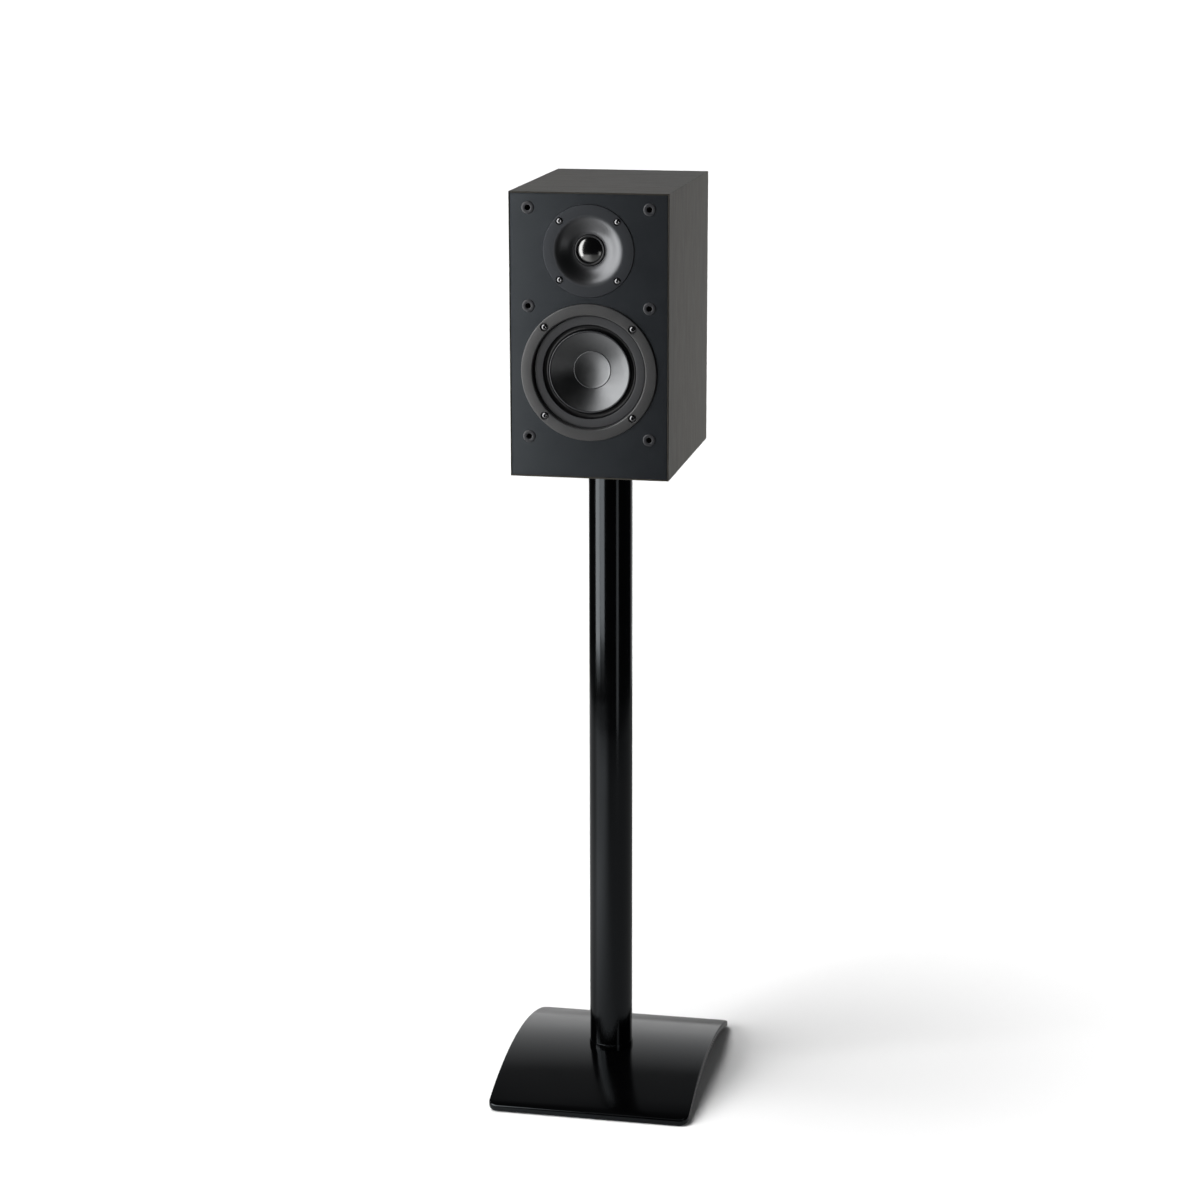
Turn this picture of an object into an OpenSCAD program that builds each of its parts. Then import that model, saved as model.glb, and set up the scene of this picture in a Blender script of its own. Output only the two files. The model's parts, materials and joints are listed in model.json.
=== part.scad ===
// Two-way bookshelf loudspeaker bolted to its floor stand.
// Origin: on the floor under the middle of the base plate. +Z is up, and the baffle faces -Y.

/* [Cabinet] */
// Width of the cabinet
cabinet_w = 165; // [155:1:180]
// Height of the cabinet
cabinet_h = 292; // [288:1:320]
// Depth of the cabinet
cabinet_d = 240; // [225:1:255]
// Thickness of the wrapped panels
panel_t = 15; // [13:1:16]
// Thickness of the front baffle
baffle_t = 18; // [16:1:20]
// Width of the wrapped edge that frames the baffle
lip_w = 1.5; // [1:0.1:2]
// Chamfer round the front of the baffle
baffle_chamfer = 0.5; // [0.4:0.1:1.4]
// Distance of each grille socket from the middle line
socket_x = 62.5; // [60:0.5:66]
// Height of the three rows of grille sockets above the cabinet's underside
socket_rows = [42, 176.5, 276];
// Radius of the hole in a grille socket
socket_bore_r = 2.8; // [2.4:0.1:3]

/* [Woofer] */
// Height of the woofer's axis above the cabinet's underside
woofer_z = 109.7; // [108:0.1:112]
// Outer radius of the woofer's frame
woofer_r = 70.5; // [69:0.5:71]
// Outer radius of the cone
cone_r = 41; // [40:0.5:41.5]
// Radius of the dust cap
cap_r = 19; // [17:0.5:21]
// Depth from the rim of the cone to the edge of the dust cap
cone_drop = 14; // [12:0.5:15]
// Depth of the hollow in the dust cap
cap_hollow = 3.2; // [2.5:0.1:3.4]
// Radius of the circle of woofer screws
woofer_screw_circle_r = 64.4; // [64:0.1:65]

/* [Tweeter] */
// Height of the tweeter's axis above the cabinet's underside
tweeter_z = 233.3; // [231:0.1:236]
// Outer radius of the tweeter's faceplate
faceplate_r = 47; // [46:0.5:48]
// Radius at which the waveguide begins
waveguide_r = 36; // [34:0.5:38]
// Depth of the waveguide's throat behind the faceplate's front
waveguide_depth = 7.6; // [6:0.1:8]
// Radius of the dome
dome_r = 12.7; // [12.6:0.1:12.7]
// Height of the dome
dome_h = 4.2; // [3.5:0.1:4.4]
// Radius of the circle of tweeter screws
tweeter_screw_circle_r = 42; // [41.5:0.1:42.5]

/* [Rear] */
// Height of the port above the cabinet's underside
port_z = 228; // [224:1:230]
// Radius of the bore of the port
port_r = 20; // [16:1:21]
// Length of the port tube inside the cabinet
port_length = 105; // [80:1:120]
// Height of the terminal cup above the cabinet's underside
terminal_z = 80; // [76:1:84]
// Distance between the two binding posts
post_pitch = 19.05; // [19:0.05:20]
// Radius of the plug socket in a binding post
plug_socket_r = 2.05; // [2:0.01:2.2]

/* [Crossover] */
// Width of the crossover board
board_w = 92; // [88:1:96]
// Depth of the crossover board
board_d = 88; // [84:1:90]
// Height of the board's standoffs
standoff_h = 8; // [5:1:10]

/* [Stand] */
// Height of the cabinet's underside above the floor
cabinet_z = 700; // [500:10:900]
// Width of the base plate
base_w = 220; // [200:1:260]
// Depth of the base plate
base_d = 286; // [250:1:300]
// Thickness of the base plate and rise of its arch
base_t = 6.6; // [5:0.1:8]
// Height of the arch under the base plate
base_rise = 26; // [20:1:32]
// Radius of the base plate's corners in plan
base_corner_r = 10; // [5:1:20]
// Radius of the column
column_r = 23.4; // [20:0.1:26]
// Distance of the column in front of the middle of the base
column_forward = 6; // [0:1:10]
// Width of the plate under the cabinet
top_plate_w = 130; // [124:1:136]
// Depth of the plate under the cabinet
top_plate_d = 150; // [144:1:160]

/* [Hidden] */
$fn = 96;
slack = 0.2;
over = 1;

// Cabinet
front_y = -cabinet_d / 2;
rear_y = cabinet_d / 2;
cabinet_top = cabinet_z + cabinet_h;
baffle_w = cabinet_w - 2 * lip_w;
baffle_h = cabinet_h - 2 * lip_w;
inner_w = cabinet_w - 2 * panel_t;
inner_h = cabinet_h - 2 * panel_t;
middle_z = cabinet_z + cabinet_h / 2;
brace_z = cabinet_z + 178;
brace_t = 12;
brace_window = [95, 150];
lining_t = 10;
socket_flange_r = 6.6;
socket_body_r = 4;
socket_proud = 0.9;
socket_depth = 12;

// Woofer, as depths behind the baffle's face
woofer_axis_z = cabinet_z + woofer_z;
flange_proud = 2.2;
flange_t = 5;
flange_back = flange_t - flange_proud;
gasket_t = 1.5;
woofer_recess = flange_back + gasket_t;
land_depth = 3.8;
land_t = 2;
land_inner_r = 49.5;
opening_r = 58.5;
surround_t = 0.8;
roll_middle_r = 45.4;
roll_r = 3.1;
roll_back_r = 3.8;
roll_wall = 1.8;
cone_rim_depth = 4;
cone_band_r = 35;
cone_t = 1;
former_outer_r = 12.75;
former_inner_r = 12.45;
coil_outer_r = 13.55;
gap_outer_r = 14.1;
pole_r = 12;
cap_t = 0.6;
seat_depth = 45;
seat_t = 3;
woofer_plate_t = 6;
woofer_magnet_t = 16;
woofer_back_t = 6;
shelf_depth = 28.5;
spider_t = 0.5;
strip_depth = 25;
strip_t = 1.6;
plate_front = seat_depth + seat_t;
magnet_front = plate_front + woofer_plate_t;
yoke_front = magnet_front + woofer_magnet_t;
yoke_back = yoke_front + woofer_back_t;
coil_middle = plate_front + woofer_plate_t / 2;

// Tweeter, as depths behind the baffle's face
tweeter_axis_z = cabinet_z + tweeter_z;
faceplate_proud = 0.9;
faceplate_t = 4;
faceplate_back = faceplate_t - faceplate_proud;
throat_r = 16.3;
dome_edge_depth = 7.4;
dome_t = 0.35;
dome_skirt = 1.2;
motor_front = 9;
tweeter_plate_t = 3;
tweeter_magnet_t = 10;
tweeter_back_t = 4;
tweeter_pole_r = 11.9;
tweeter_magnet_front = motor_front + tweeter_plate_t;
tweeter_yoke_front = tweeter_magnet_front + tweeter_magnet_t;
chamber_front = tweeter_yoke_front + tweeter_back_t;
chamber_depth = 20;
chamber_r = 30;

// Rear fittings, as depths behind the rear panel's face
port_axis_z = cabinet_z + port_z;
port_flange_r = 33;
port_flange_t = 2.5;
port_flare_r = 10;
port_wall = 2.5;
terminal_axis_z = cabinet_z + terminal_z;
cup_flange = [80, 72];
cup_body = [66, 56];
cup_pocket = [61, 51];
cup_floor = 25;
cup_floor_t = 2.5;
cup_flange_t = 2.5;
cup_corner_r = 6;
cup_screw = [35.5, 31.5];
post_r = 3.5;
post_collar_r = 7;
post_collar_t = 3;
post_tip = 6;
post_tail = 40;
wire_hole_r = 1.6;
washer_t = 1.5;
knob_r = 8;
knob_tip = 5;
collar_face = cup_floor - post_collar_t;
washer_face = collar_face - washer_t;
nut_t = 3;
tag_t = 0.6;
nut_front = cup_floor + cup_floor_t;
tag_front = nut_front + nut_t;

// Crossover
board_z = cabinet_z + panel_t + standoff_h;
board_t = 1.6;
board_y = 18;
board_top = board_z + board_t;
board_screw = [board_w / 2 - 5, board_d / 2 - 5];

// Stand
feet_t = 0.4;
arch_r = (base_d * base_d / 4 + base_rise * base_rise) / (2 * base_rise);
arch_z = feet_t + base_rise - arch_r;
crest_z = feet_t + base_rise + base_t;
column_y = -column_forward;
pad_t = 4;
pad_r = 10;
plate_t = 4;
plate_z = cabinet_z - pad_t - plate_t;
column_wall = 2;
plug_t = 22;
insert_x = 45;
insert_depth = 13;

// ---- Shared shapes ----

// Puts a shape's +Z into the cabinet from a point on the baffle's face
module behind_baffle(x, z) {
    translate([x, front_y, z]) rotate([-90, 0, 0]) children();
}

// Puts a shape's +Z into the cabinet from a point on the rear panel's face
module behind_rear(x, z) {
    translate([x, rear_y, z]) rotate([90, 0, 0]) children();
}

// A flat ring, or a disc where its inner radius is 0
module ring(outer_r, inner_r, from, to) {
    translate([0, 0, from]) difference() {
        cylinder(r = outer_r, h = to - from);
        if (inner_r > 0) translate([0, 0, -over]) cylinder(r = inner_r, h = to - from + 2 * over);
    }
}

module rounded_rectangle(size, r) {
    square([size.x - 2 * r, size.y], center = true);
    square([size.x, size.y - 2 * r], center = true);
    for (sx = [-1, 1], sy = [-1, 1])
        translate([sx * (size.x / 2 - r), sy * (size.y / 2 - r)]) circle(r = r);
}

module rounded_slab(size, r, from, to) {
    translate([0, 0, from]) linear_extrude(height = to - from) rounded_rectangle(size, r);
}

// Four copies, one at each corner of a rectangle with these half sizes
module at_corners(half) {
    for (sx = [-1, 1], sy = [-1, 1]) translate([sx * half.x, sy * half.y, 0]) children();
}

// Four copies on a circle, each at 45 degrees to the middle lines
module on_circle(r) {
    for (i = [0 : 3]) rotate([0, 0, 45 + 90 * i]) translate([r, 0, 0]) children();
}

// A button-head screw whose head rests at depth 0 and whose shank runs to +Z
module button_screw(head_r, head_h, shank_r, length, key) {
    difference() {
        union() {
            rotate_extrude() polygon(concat(
                [[0, 0], [head_r, 0], [head_r, -0.3 * head_h]],
                [for (i = [1 : 6]) [head_r * cos(15 * i), -head_h * (0.3 + 0.7 * sin(15 * i))]]));
            cylinder(r = shank_r, h = length);
        }
        translate([0, 0, -2 * head_h]) cylinder(r = key, h = 1.65 * head_h, $fn = 6);
    }
}

// Points on an arc, as [radius, depth], from one angle to another
function arc(middle, r, a0, a1, steps) =
    [for (i = [0 : steps])
        let (a = a0 + (a1 - a0) * i / steps) [middle.x + r * cos(a), middle.y + r * sin(a)]];

// Depth of the front of the cone at a radius
function cone_depth(r) =
    cone_rim_depth + cone_drop * pow((cone_r - r) / (cone_r - cap_r), 1.1);

// Depth of the front of the waveguide at a radius
function waveguide_at(r) =
    -faceplate_proud
    + waveguide_depth * (1 - cos(180 * (waveguide_r - r) / (waveguide_r - throat_r))) / 2;

// Front of a dished disc from the middle to its edge; a negative "hollow" bulges towards -Z
function dish(edge_r, edge_depth, hollow, steps) =
    let (big = (edge_r * edge_r + hollow * hollow) / (2 * abs(hollow)))
    [for (i = [0 : steps])
        let (r = edge_r * i / steps)
        [r, edge_depth + sign(hollow) * (abs(hollow) - big + sqrt(big * big - r * r))]];

function backwards(list) = [for (i = [len(list) - 1 : -1 : 0]) list[i]];
function deeper(list, by) = [for (p = list) [p.x, p.y + by]];

// A lead that leaves "a" towards "a_way" and arrives at "b" from "b_way"
function lead_point(a, a_way, b, b_way, t) =
    pow(1 - t, 3) * a + 3 * t * pow(1 - t, 2) * (a + a_way)
    + 3 * t * t * (1 - t) * (b + b_way) + t * t * t * b;

module lead(a, a_way, b, b_way, r) {
    steps = 18;
    sides = 8;
    path = [for (i = [0 : steps]) lead_point(a, a_way, b, b_way, i / steps)];
    points = [for (i = [0 : steps])
        let (
            way = path[min(i + 1, steps)] - path[max(i - 1, 0)],
            along = way / norm(way),
            side = cross(along, [1, 0.12, 0.07]),
            u = side / norm(side),
            v = cross(along, u)
        )
        for (k = [0 : sides - 1])
            path[i] + r * cos(360 * k / sides) * u + r * sin(360 * k / sides) * v];
    walls = [for (i = [0 : steps - 1], k = [0 : sides - 1])
        [i * sides + k, i * sides + (k + 1) % sides,
         (i + 1) * sides + (k + 1) % sides, (i + 1) * sides + k]];
    near_end = [for (k = [sides - 1 : -1 : 0]) k];
    far_end = [for (k = [0 : sides - 1]) steps * sides + k];
    polyhedron(points, concat(walls, [near_end, far_end]));
}

// ---- Cabinet ----

// One mitred board of the wrap: "span" across the outside, front to back along Z
module mitred_board(span) {
    difference() {
        linear_extrude(height = cabinet_d) polygon([
            [-span / 2, 0], [span / 2, 0],
            [span / 2 - panel_t, -panel_t], [-span / 2 + panel_t, -panel_t]]);
        translate([-span / 2 + lip_w, -panel_t - over, -over])
            cube([span - 2 * lip_w, panel_t + over - lip_w, baffle_t + over]);
    }
}

// Turns a board's outer face to look along the given direction round the Y axis
module on_cabinet_side(turn, distance) {
    translate([0, front_y, middle_z]) rotate([-90, turn, 0])
        translate([0, -distance, 0]) mirror([0, 1, 0]) children();
}

module top_panel() {
    color("dimgray") on_cabinet_side(0, cabinet_h / 2) mitred_board(cabinet_w);
}

module bottom_panel() {
    color("dimgray") difference() {
        on_cabinet_side(180, cabinet_h / 2) mitred_board(cabinet_w);
        for (sx = [-1, 1]) translate([sx * insert_x, column_y, cabinet_z - over])
            cylinder(r = 5, h = insert_depth + over);
    }
}

module left_side_panel() {
    color("dimgray") on_cabinet_side(-90, cabinet_w / 2) mitred_board(cabinet_h);
}

module right_side_panel() {
    color("dimgray") on_cabinet_side(90, cabinet_w / 2) mitred_board(cabinet_h);
}

module rear_panel() {
    color("dimgray") difference() {
        translate([-inner_w / 2, rear_y - panel_t, middle_z - inner_h / 2])
            cube([inner_w, panel_t, inner_h]);
        behind_rear(0, port_axis_z) ring(port_flange_r - 4.5, 0, -over, panel_t + over);
        behind_rear(0, terminal_axis_z) {
            rounded_slab(cup_body, cup_corner_r, -over, panel_t + over);
            at_corners(cup_screw) cylinder(r = 1.5, h = 12);
        }
    }
}

module front_baffle() {
    color([0.17, 0.18, 0.2]) difference() {
        intersection() {
            translate([-baffle_w / 2, front_y, middle_z - baffle_h / 2])
                cube([baffle_w, baffle_t, baffle_h]);
            // the two wedges leave a chamfer along all four front edges
            translate([0, 0, middle_z]) linear_extrude(height = baffle_h, center = true) polygon([
                [-baffle_w / 2, front_y + baffle_t], [-baffle_w / 2, front_y + baffle_chamfer],
                [-baffle_w / 2 + baffle_chamfer, front_y], [baffle_w / 2 - baffle_chamfer, front_y],
                [baffle_w / 2, front_y + baffle_chamfer], [baffle_w / 2, front_y + baffle_t]]);
            translate([0, 0, middle_z]) rotate([90, 0, 90])
                linear_extrude(height = baffle_w, center = true) polygon([
                    [front_y + baffle_t, -baffle_h / 2], [front_y + baffle_chamfer, -baffle_h / 2],
                    [front_y, -baffle_h / 2 + baffle_chamfer],
                    [front_y, baffle_h / 2 - baffle_chamfer],
                    [front_y + baffle_chamfer, baffle_h / 2], [front_y + baffle_t, baffle_h / 2]]);
        }
        behind_baffle(0, woofer_axis_z) {
            translate([0, 0, -over]) cylinder(r = woofer_r + slack, h = woofer_recess + over);
            cylinder(r = 61, h = baffle_t + over);
            on_circle(woofer_screw_circle_r) cylinder(r = 1.95, h = baffle_t - 2);
        }
        behind_baffle(0, tweeter_axis_z) {
            translate([0, 0, -over]) cylinder(r = faceplate_r + slack, h = faceplate_back + over);
            cylinder(r = 38.5, h = baffle_t + over);
            on_circle(tweeter_screw_circle_r) cylinder(r = 1.55, h = baffle_t - 4);
        }
        for (sx = [-1, 1], row = socket_rows) behind_baffle(sx * socket_x, cabinet_z + row)
            translate([0, 0, -over]) cylinder(r = socket_body_r, h = socket_depth + over);
    }
}

module window_brace() {
    color("burlywood") difference() {
        translate([-inner_w / 2, front_y + baffle_t, brace_z])
            cube([inner_w, cabinet_d - baffle_t - panel_t, brace_t]);
        translate([0, (baffle_t - panel_t) / 2, 0])
            rounded_slab(brace_window, 12, brace_z - over, brace_z + brace_t + over);
    }
}

module damping_lining() {
    lower_z = cabinet_z + panel_t + 5;
    lining_y = -60;
    lining_d = 155;
    color("gainsboro") {
        for (sx = [-1, 1])
            translate([sx * (inner_w - lining_t) / 2, lining_y + lining_d / 2, (lower_z + brace_z) / 2])
                cube([lining_t, lining_d, brace_z - lower_z - 4], center = true);
        translate([-(inner_w - 30) / 2, lining_y, cabinet_top - panel_t - lining_t])
            cube([inner_w - 30, lining_d, lining_t]);
    }
}

module grille_sockets() {
    color("black") for (sx = [-1, 1], row = socket_rows)
        behind_baffle(sx * socket_x, cabinet_z + row) difference() {
            union() {
                ring(socket_flange_r, 0, -socket_proud, 0);
                ring(socket_body_r, 0, 0, socket_depth);
            }
            ring(socket_bore_r, 0, -socket_proud - over, socket_depth - 2);
        }
}

// ---- Rear fittings ----

module port_tube() {
    mouth = -port_flange_t;
    flare_middle = [port_r + port_flare_r, mouth + port_flare_r];
    color([0.1, 0.1, 0.1]) behind_rear(0, port_axis_z) rotate_extrude() polygon(concat(
        [[port_r, port_length]],
        arc(flare_middle, port_flare_r, 180, 270, 8),
        [[port_flange_r - 1, mouth], [port_flange_r, mouth + 1], [port_flange_r, 0],
         [port_flange_r - 4.6, 0], [port_flange_r - 4.6, panel_t],
         [port_r + port_wall, panel_t + 6], [port_r + port_wall, port_length]]));
}

module threaded_inserts() {
    color("goldenrod") for (sx = [-1, 1]) translate([sx * insert_x, column_y, 0])
        ring(5, 3, cabinet_z, cabinet_z + insert_depth);
}

module terminal_cup() {
    color([0.1, 0.1, 0.1]) behind_rear(0, terminal_axis_z) difference() {
        union() {
            rounded_slab(cup_flange, cup_corner_r, -cup_flange_t, 0);
            rounded_slab(cup_body - [0.4, 0.4], cup_corner_r, 0, cup_floor + cup_floor_t);
        }
        rounded_slab(cup_pocket, 4, -cup_flange_t - over, cup_floor);
        for (sx = [-1, 1]) translate([sx * post_pitch / 2, 0, cup_floor - over])
            cylinder(r = post_r + 0.05, h = cup_floor_t + 2 * over);
        at_corners(cup_screw) translate([0, 0, -cup_flange_t - over])
            cylinder(r = 1.7, h = cup_flange_t + 2 * over);
    }
}

module terminal_cup_screws() {
    color("black") behind_rear(0, terminal_axis_z) at_corners(cup_screw)
        translate([0, 0, -cup_flange_t]) button_screw(2.9, 1.8, 1.5, 14, 1.1);
}

module binding_post(side) {
    color("gold") behind_rear(side * post_pitch / 2, terminal_axis_z) difference() {
        union() {
            ring(post_r, 0, post_tip, post_tail);
            ring(post_collar_r, 0, collar_face, cup_floor);
        }
        translate([0, 0, post_tip - over]) cylinder(r = plug_socket_r, h = 12 + over);
        translate([0, 0, (washer_face + collar_face) / 2 - 1]) rotate([90, 0, 0])
            cylinder(r = wire_hole_r, h = 4 * post_r, center = true);
    }
}

module positive_post() { binding_post(-1); }
module negative_post() { binding_post(1); }

module binding_knob(side) {
    flutes = 16;
    behind_rear(side * post_pitch / 2, terminal_axis_z) difference() {
        union() {
            ring(knob_r, 0, knob_tip + 1.5, washer_face - 3);
            ring(knob_r - 1, 0, knob_tip, washer_face);
        }
        translate([0, 0, knob_tip - over]) cylinder(r = post_r + 0.05, h = washer_face);
        for (i = [0 : flutes - 1]) rotate([0, 0, 360 * i / flutes])
            translate([knob_r + 0.55, 0, knob_tip]) cylinder(r = 1, h = washer_face);
    }
}

module positive_knob() { color("firebrick") binding_knob(-1); }
module negative_knob() { color("black") binding_knob(1); }

module clamp_washer(side) {
    color("gold") behind_rear(side * post_pitch / 2, terminal_axis_z)
        ring(post_collar_r - 0.5, post_r + 0.05, washer_face, collar_face);
}

module positive_clamp_washer() { clamp_washer(-1); }
module negative_clamp_washer() { clamp_washer(1); }

module terminal_nuts() {
    color("gold") for (sx = [-1, 1]) behind_rear(sx * post_pitch / 2, terminal_axis_z)
        for (front = [nut_front, tag_front + tag_t]) translate([0, 0, front]) difference() {
            cylinder(r = 6.4, h = nut_t, $fn = 6);
            translate([0, 0, -over]) cylinder(r = post_r, h = nut_t + 2 * over);
        }
}

module solder_tags() {
    color("silver") for (sx = [-1, 1]) behind_rear(sx * post_pitch / 2, terminal_axis_z)
        translate([0, 0, tag_front]) difference() {
            union() {
                cylinder(r = 6, h = tag_t);
                translate([-2.5, -16, 0]) cube([5, 16, tag_t]);
            }
            translate([0, 0, -over]) cylinder(r = post_r, h = tag_t + 2 * over);
        }
}

// ---- Crossover ----

module at_board_screws() {
    translate([0, board_y, 0]) at_corners(board_screw) children();
}

module crossover_board() {
    color("darkolivegreen") difference() {
        translate([0, board_y, 0])
            rounded_slab([board_w, board_d], 3, board_z, board_top);
        at_board_screws() translate([0, 0, board_z - over]) cylinder(r = 1.75, h = board_t + 2 * over);
    }
}

module crossover_standoffs() {
    color("silver") at_board_screws() ring(3, 1.6, cabinet_z + panel_t, board_z);
}

module crossover_screws() {
    color("black") at_board_screws() translate([0, 0, board_top]) mirror([0, 0, 1])
        button_screw(3, 2, 1.5, board_t + standoff_h - 1, 1.1);
}

// [x, y, outer radius, hub radius, height] of each inductor
inductors = [[-22, 22, 20, 9, 20], [24, 8, 14, 6, 15]];

module inductor_bobbins() {
    color("ivory") for (coil = inductors) translate([coil[0], coil[1], board_top]) difference() {
        rotate_extrude() polygon([
            [0, 0], [coil[2] + 1, 0], [coil[2] + 1, 1.5], [coil[3], 1.5],
            [coil[3], coil[4] - 1.5], [coil[2] + 1, coil[4] - 1.5], [coil[2] + 1, coil[4]],
            [0, coil[4]]]);
        translate([0, 0, -over]) cylinder(r = coil[3] - 2, h = coil[4] + 2 * over);
    }
}

module inductor_windings() {
    color("peru") for (coil = inductors) translate([coil[0], coil[1], board_top])
        ring(coil[2], coil[3] + 0.05, 1.5, coil[4] - 1.5);
}

// [x, y, radius, length] of each capacitor, lying along X
capacitors = [[24, 35, 8, 34], [24, 50, 6, 28], [-22, 51, 5.5, 26]];

module crossover_capacitors() {
    color("gold") for (can = capacitors) translate([can[0], can[1], board_top + can[2]])
        rotate([0, 90, 0]) cylinder(r = can[2], h = can[3], center = true);
}

// [x, y] of each ceramic resistor, lying along X
resistors = [[-24, -12], [24, -15]];

module crossover_resistors() {
    color("white") for (place = resistors)
        translate([place.x - 12, place.y - 4, board_top]) cube([24, 8, 8]);
}

module internal_wiring() {
    lead_r = 1.2;
    tag_y = rear_y - tag_front - tag_t / 2;
    strip_back = front_y + strip_depth + strip_t;
    color("crimson") for (sx = [-1, 1]) {
        // terminals to board
        lead([sx * post_pitch / 2, tag_y - 2, terminal_axis_z - 14], [0, -8, -14],
             [sx * 34, 58, board_top + lead_r], [0, 4, 22], lead_r);
        // board to woofer
        lead([sx * 6, -22, board_top + lead_r], [0, -6, 12],
             [sx * 5, strip_back + 0.3, woofer_axis_z - 56], [0, 22, 0], lead_r);
        // board to tweeter
        lead([sx * 40 - 4, -4, board_top + lead_r], [0, 0, 60],
             [sx * 12, front_y + 62, tweeter_axis_z - 6], [0, 62, -40], lead_r);
    }
}

// ---- Woofer ----

module woofer_frame() {
    windows = 6;
    color("dimgray") behind_baffle(0, woofer_axis_z) difference() {
        union() {
            difference() {
                rotate_extrude() polygon([
                    [opening_r + 1, -flange_proud], [woofer_r - 0.8, -flange_proud],
                    [woofer_r, -flange_proud + 0.8], [woofer_r, flange_back], [60.5, flange_back],
                    [57.5, 8], [40, seat_depth], [40, plate_front], [17, plate_front],
                    [17, seat_depth], [37, seat_depth], [55, land_depth + 2 * land_t],
                    [land_inner_r, land_depth + land_t],
                    [land_inner_r, land_depth], [opening_r, land_depth],
                    [opening_r, -flange_proud + 1]]);
                for (i = [0 : windows - 1]) rotate([0, 0, 360 * i / windows + 11])
                    rotate_extrude(angle = 38) translate([30, 13]) square([40, 27]);
            }
            ring(44, 34, shelf_depth, shelf_depth + 2);
        }
        on_circle(woofer_screw_circle_r) {
            translate([0, 0, -flange_proud - over]) cylinder(r = 4.3, h = 2 + over);
            translate([0, 0, -flange_proud]) cylinder(r = 2.1, h = flange_t + over);
        }
    }
}

module woofer_gasket() {
    color("black") behind_baffle(0, woofer_axis_z) difference() {
        ring(69.5, 61.5, flange_back, woofer_recess);
        on_circle(woofer_screw_circle_r) cylinder(r = 2.1, h = 2 * flange_t);
    }
}

module woofer_surround() {
    front = land_depth - surround_t;
    roll = [roll_middle_r, front + roll_wall];
    lip_start = 43;
    rim_r = cone_r + 0.05;
    rim_back = cone_rim_depth + cone_t + 0.05;
    band_back = cone_depth(cone_band_r) + cone_t + 0.05;
    color([0.15, 0.15, 0.16]) behind_baffle(0, woofer_axis_z) rotate_extrude() polygon(concat(
        [[opening_r - slack, front], [roll.x + roll_r, front]],
        arc(roll, roll_r, 0, 180, 10),
        [[roll.x - roll_r, front], [cone_r + 0.8, front - 0.1], [rim_r, front + 0.3], [rim_r, rim_back],
         [cone_band_r, band_back], [cone_band_r, band_back + 0.7]],
        arc(roll, roll_back_r, 180 - lip_start, 6, 9),
        [[roll.x + roll_back_r, roll.y], [roll.x + roll_back_r, land_depth],
         [opening_r - slack, land_depth]]));
}

module woofer_cone() {
    steps = 10;
    front = [for (i = [0 : steps])
        let (r = cone_band_r + (former_outer_r + 0.05 - cone_band_r) * i / steps) [r, cone_depth(r)]];
    outline = concat([[cone_r, cone_rim_depth]], front);
    color("silver") behind_baffle(0, woofer_axis_z) rotate_extrude()
        polygon(concat(outline, backwards(deeper(outline, cone_t))));
}

module woofer_dust_cap() {
    front = dish(cap_r, cone_depth(cap_r) - cap_t, cap_hollow, 10);
    color("silver") behind_baffle(0, woofer_axis_z) rotate_extrude()
        polygon(concat(front, backwards(deeper(front, cap_t))));
}

module woofer_coil_former() {
    color("sienna") behind_baffle(0, woofer_axis_z)
        ring(former_outer_r, former_inner_r, cone_depth(former_outer_r) - 1.2, coil_middle + 6);
}

module woofer_voice_coil() {
    color("peru") behind_baffle(0, woofer_axis_z)
        ring(coil_outer_r, former_outer_r, coil_middle - 6, coil_middle + 6);
}

module woofer_spider() {
    waves = 4;
    per_wave = 8;
    inner_r = 15;
    outer_r = 34;
    rest = shelf_depth - spider_t;
    front = concat(
        [[former_outer_r, rest]],
        [for (i = [0 : waves * per_wave])
            [inner_r + (outer_r - inner_r) * i / (waves * per_wave),
             rest + 0.9 * sin(360 * i / per_wave)]],
        [[38, rest]]);
    color("khaki") behind_baffle(0, woofer_axis_z) rotate_extrude()
        polygon(concat(front, backwards(deeper(front, spider_t))));
}

module woofer_top_plate() {
    color("gray") behind_baffle(0, woofer_axis_z) ring(40, gap_outer_r, plate_front, magnet_front);
}

module woofer_magnet() {
    color([0.2, 0.2, 0.2]) behind_baffle(0, woofer_axis_z) ring(42, 20, magnet_front, yoke_front);
}

module woofer_yoke() {
    color("gray") behind_baffle(0, woofer_axis_z) {
        ring(40, 0, yoke_front, yoke_back);
        ring(pole_r, 0, plate_front - 0.5, yoke_front);
    }
}

module woofer_tinsel_leads() {
    lead_r = 0.5;
    strip_back = front_y + strip_depth + strip_t;
    cone_back = front_y + cone_depth(26) + cone_t;
    color("coral") for (sx = [-1, 1])
        lead([sx * 5, strip_back + lead_r + 0.2, woofer_axis_z - 47], [0, 0, 9],
             [sx * 5, cone_back + lead_r + 0.9, woofer_axis_z - 24], [0, 7, -4], lead_r);
}

module woofer_terminal_strip() {
    color("saddlebrown") translate([-9, front_y + strip_depth, woofer_axis_z - 60]) difference() {
        cube([18, strip_t, 14]);
        for (sx = [-1, 1]) translate([9 + sx * 5, -over, 5]) rotate([-90, 0, 0])
            cylinder(r = 1, h = 4);
    }
}

module woofer_screws() {
    color("black") behind_baffle(0, woofer_axis_z) on_circle(woofer_screw_circle_r)
        translate([0, 0, 2 - flange_proud]) button_screw(3.4, 2.1, 1.9, 15, 1.5);
}

// ---- Tweeter ----

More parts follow.
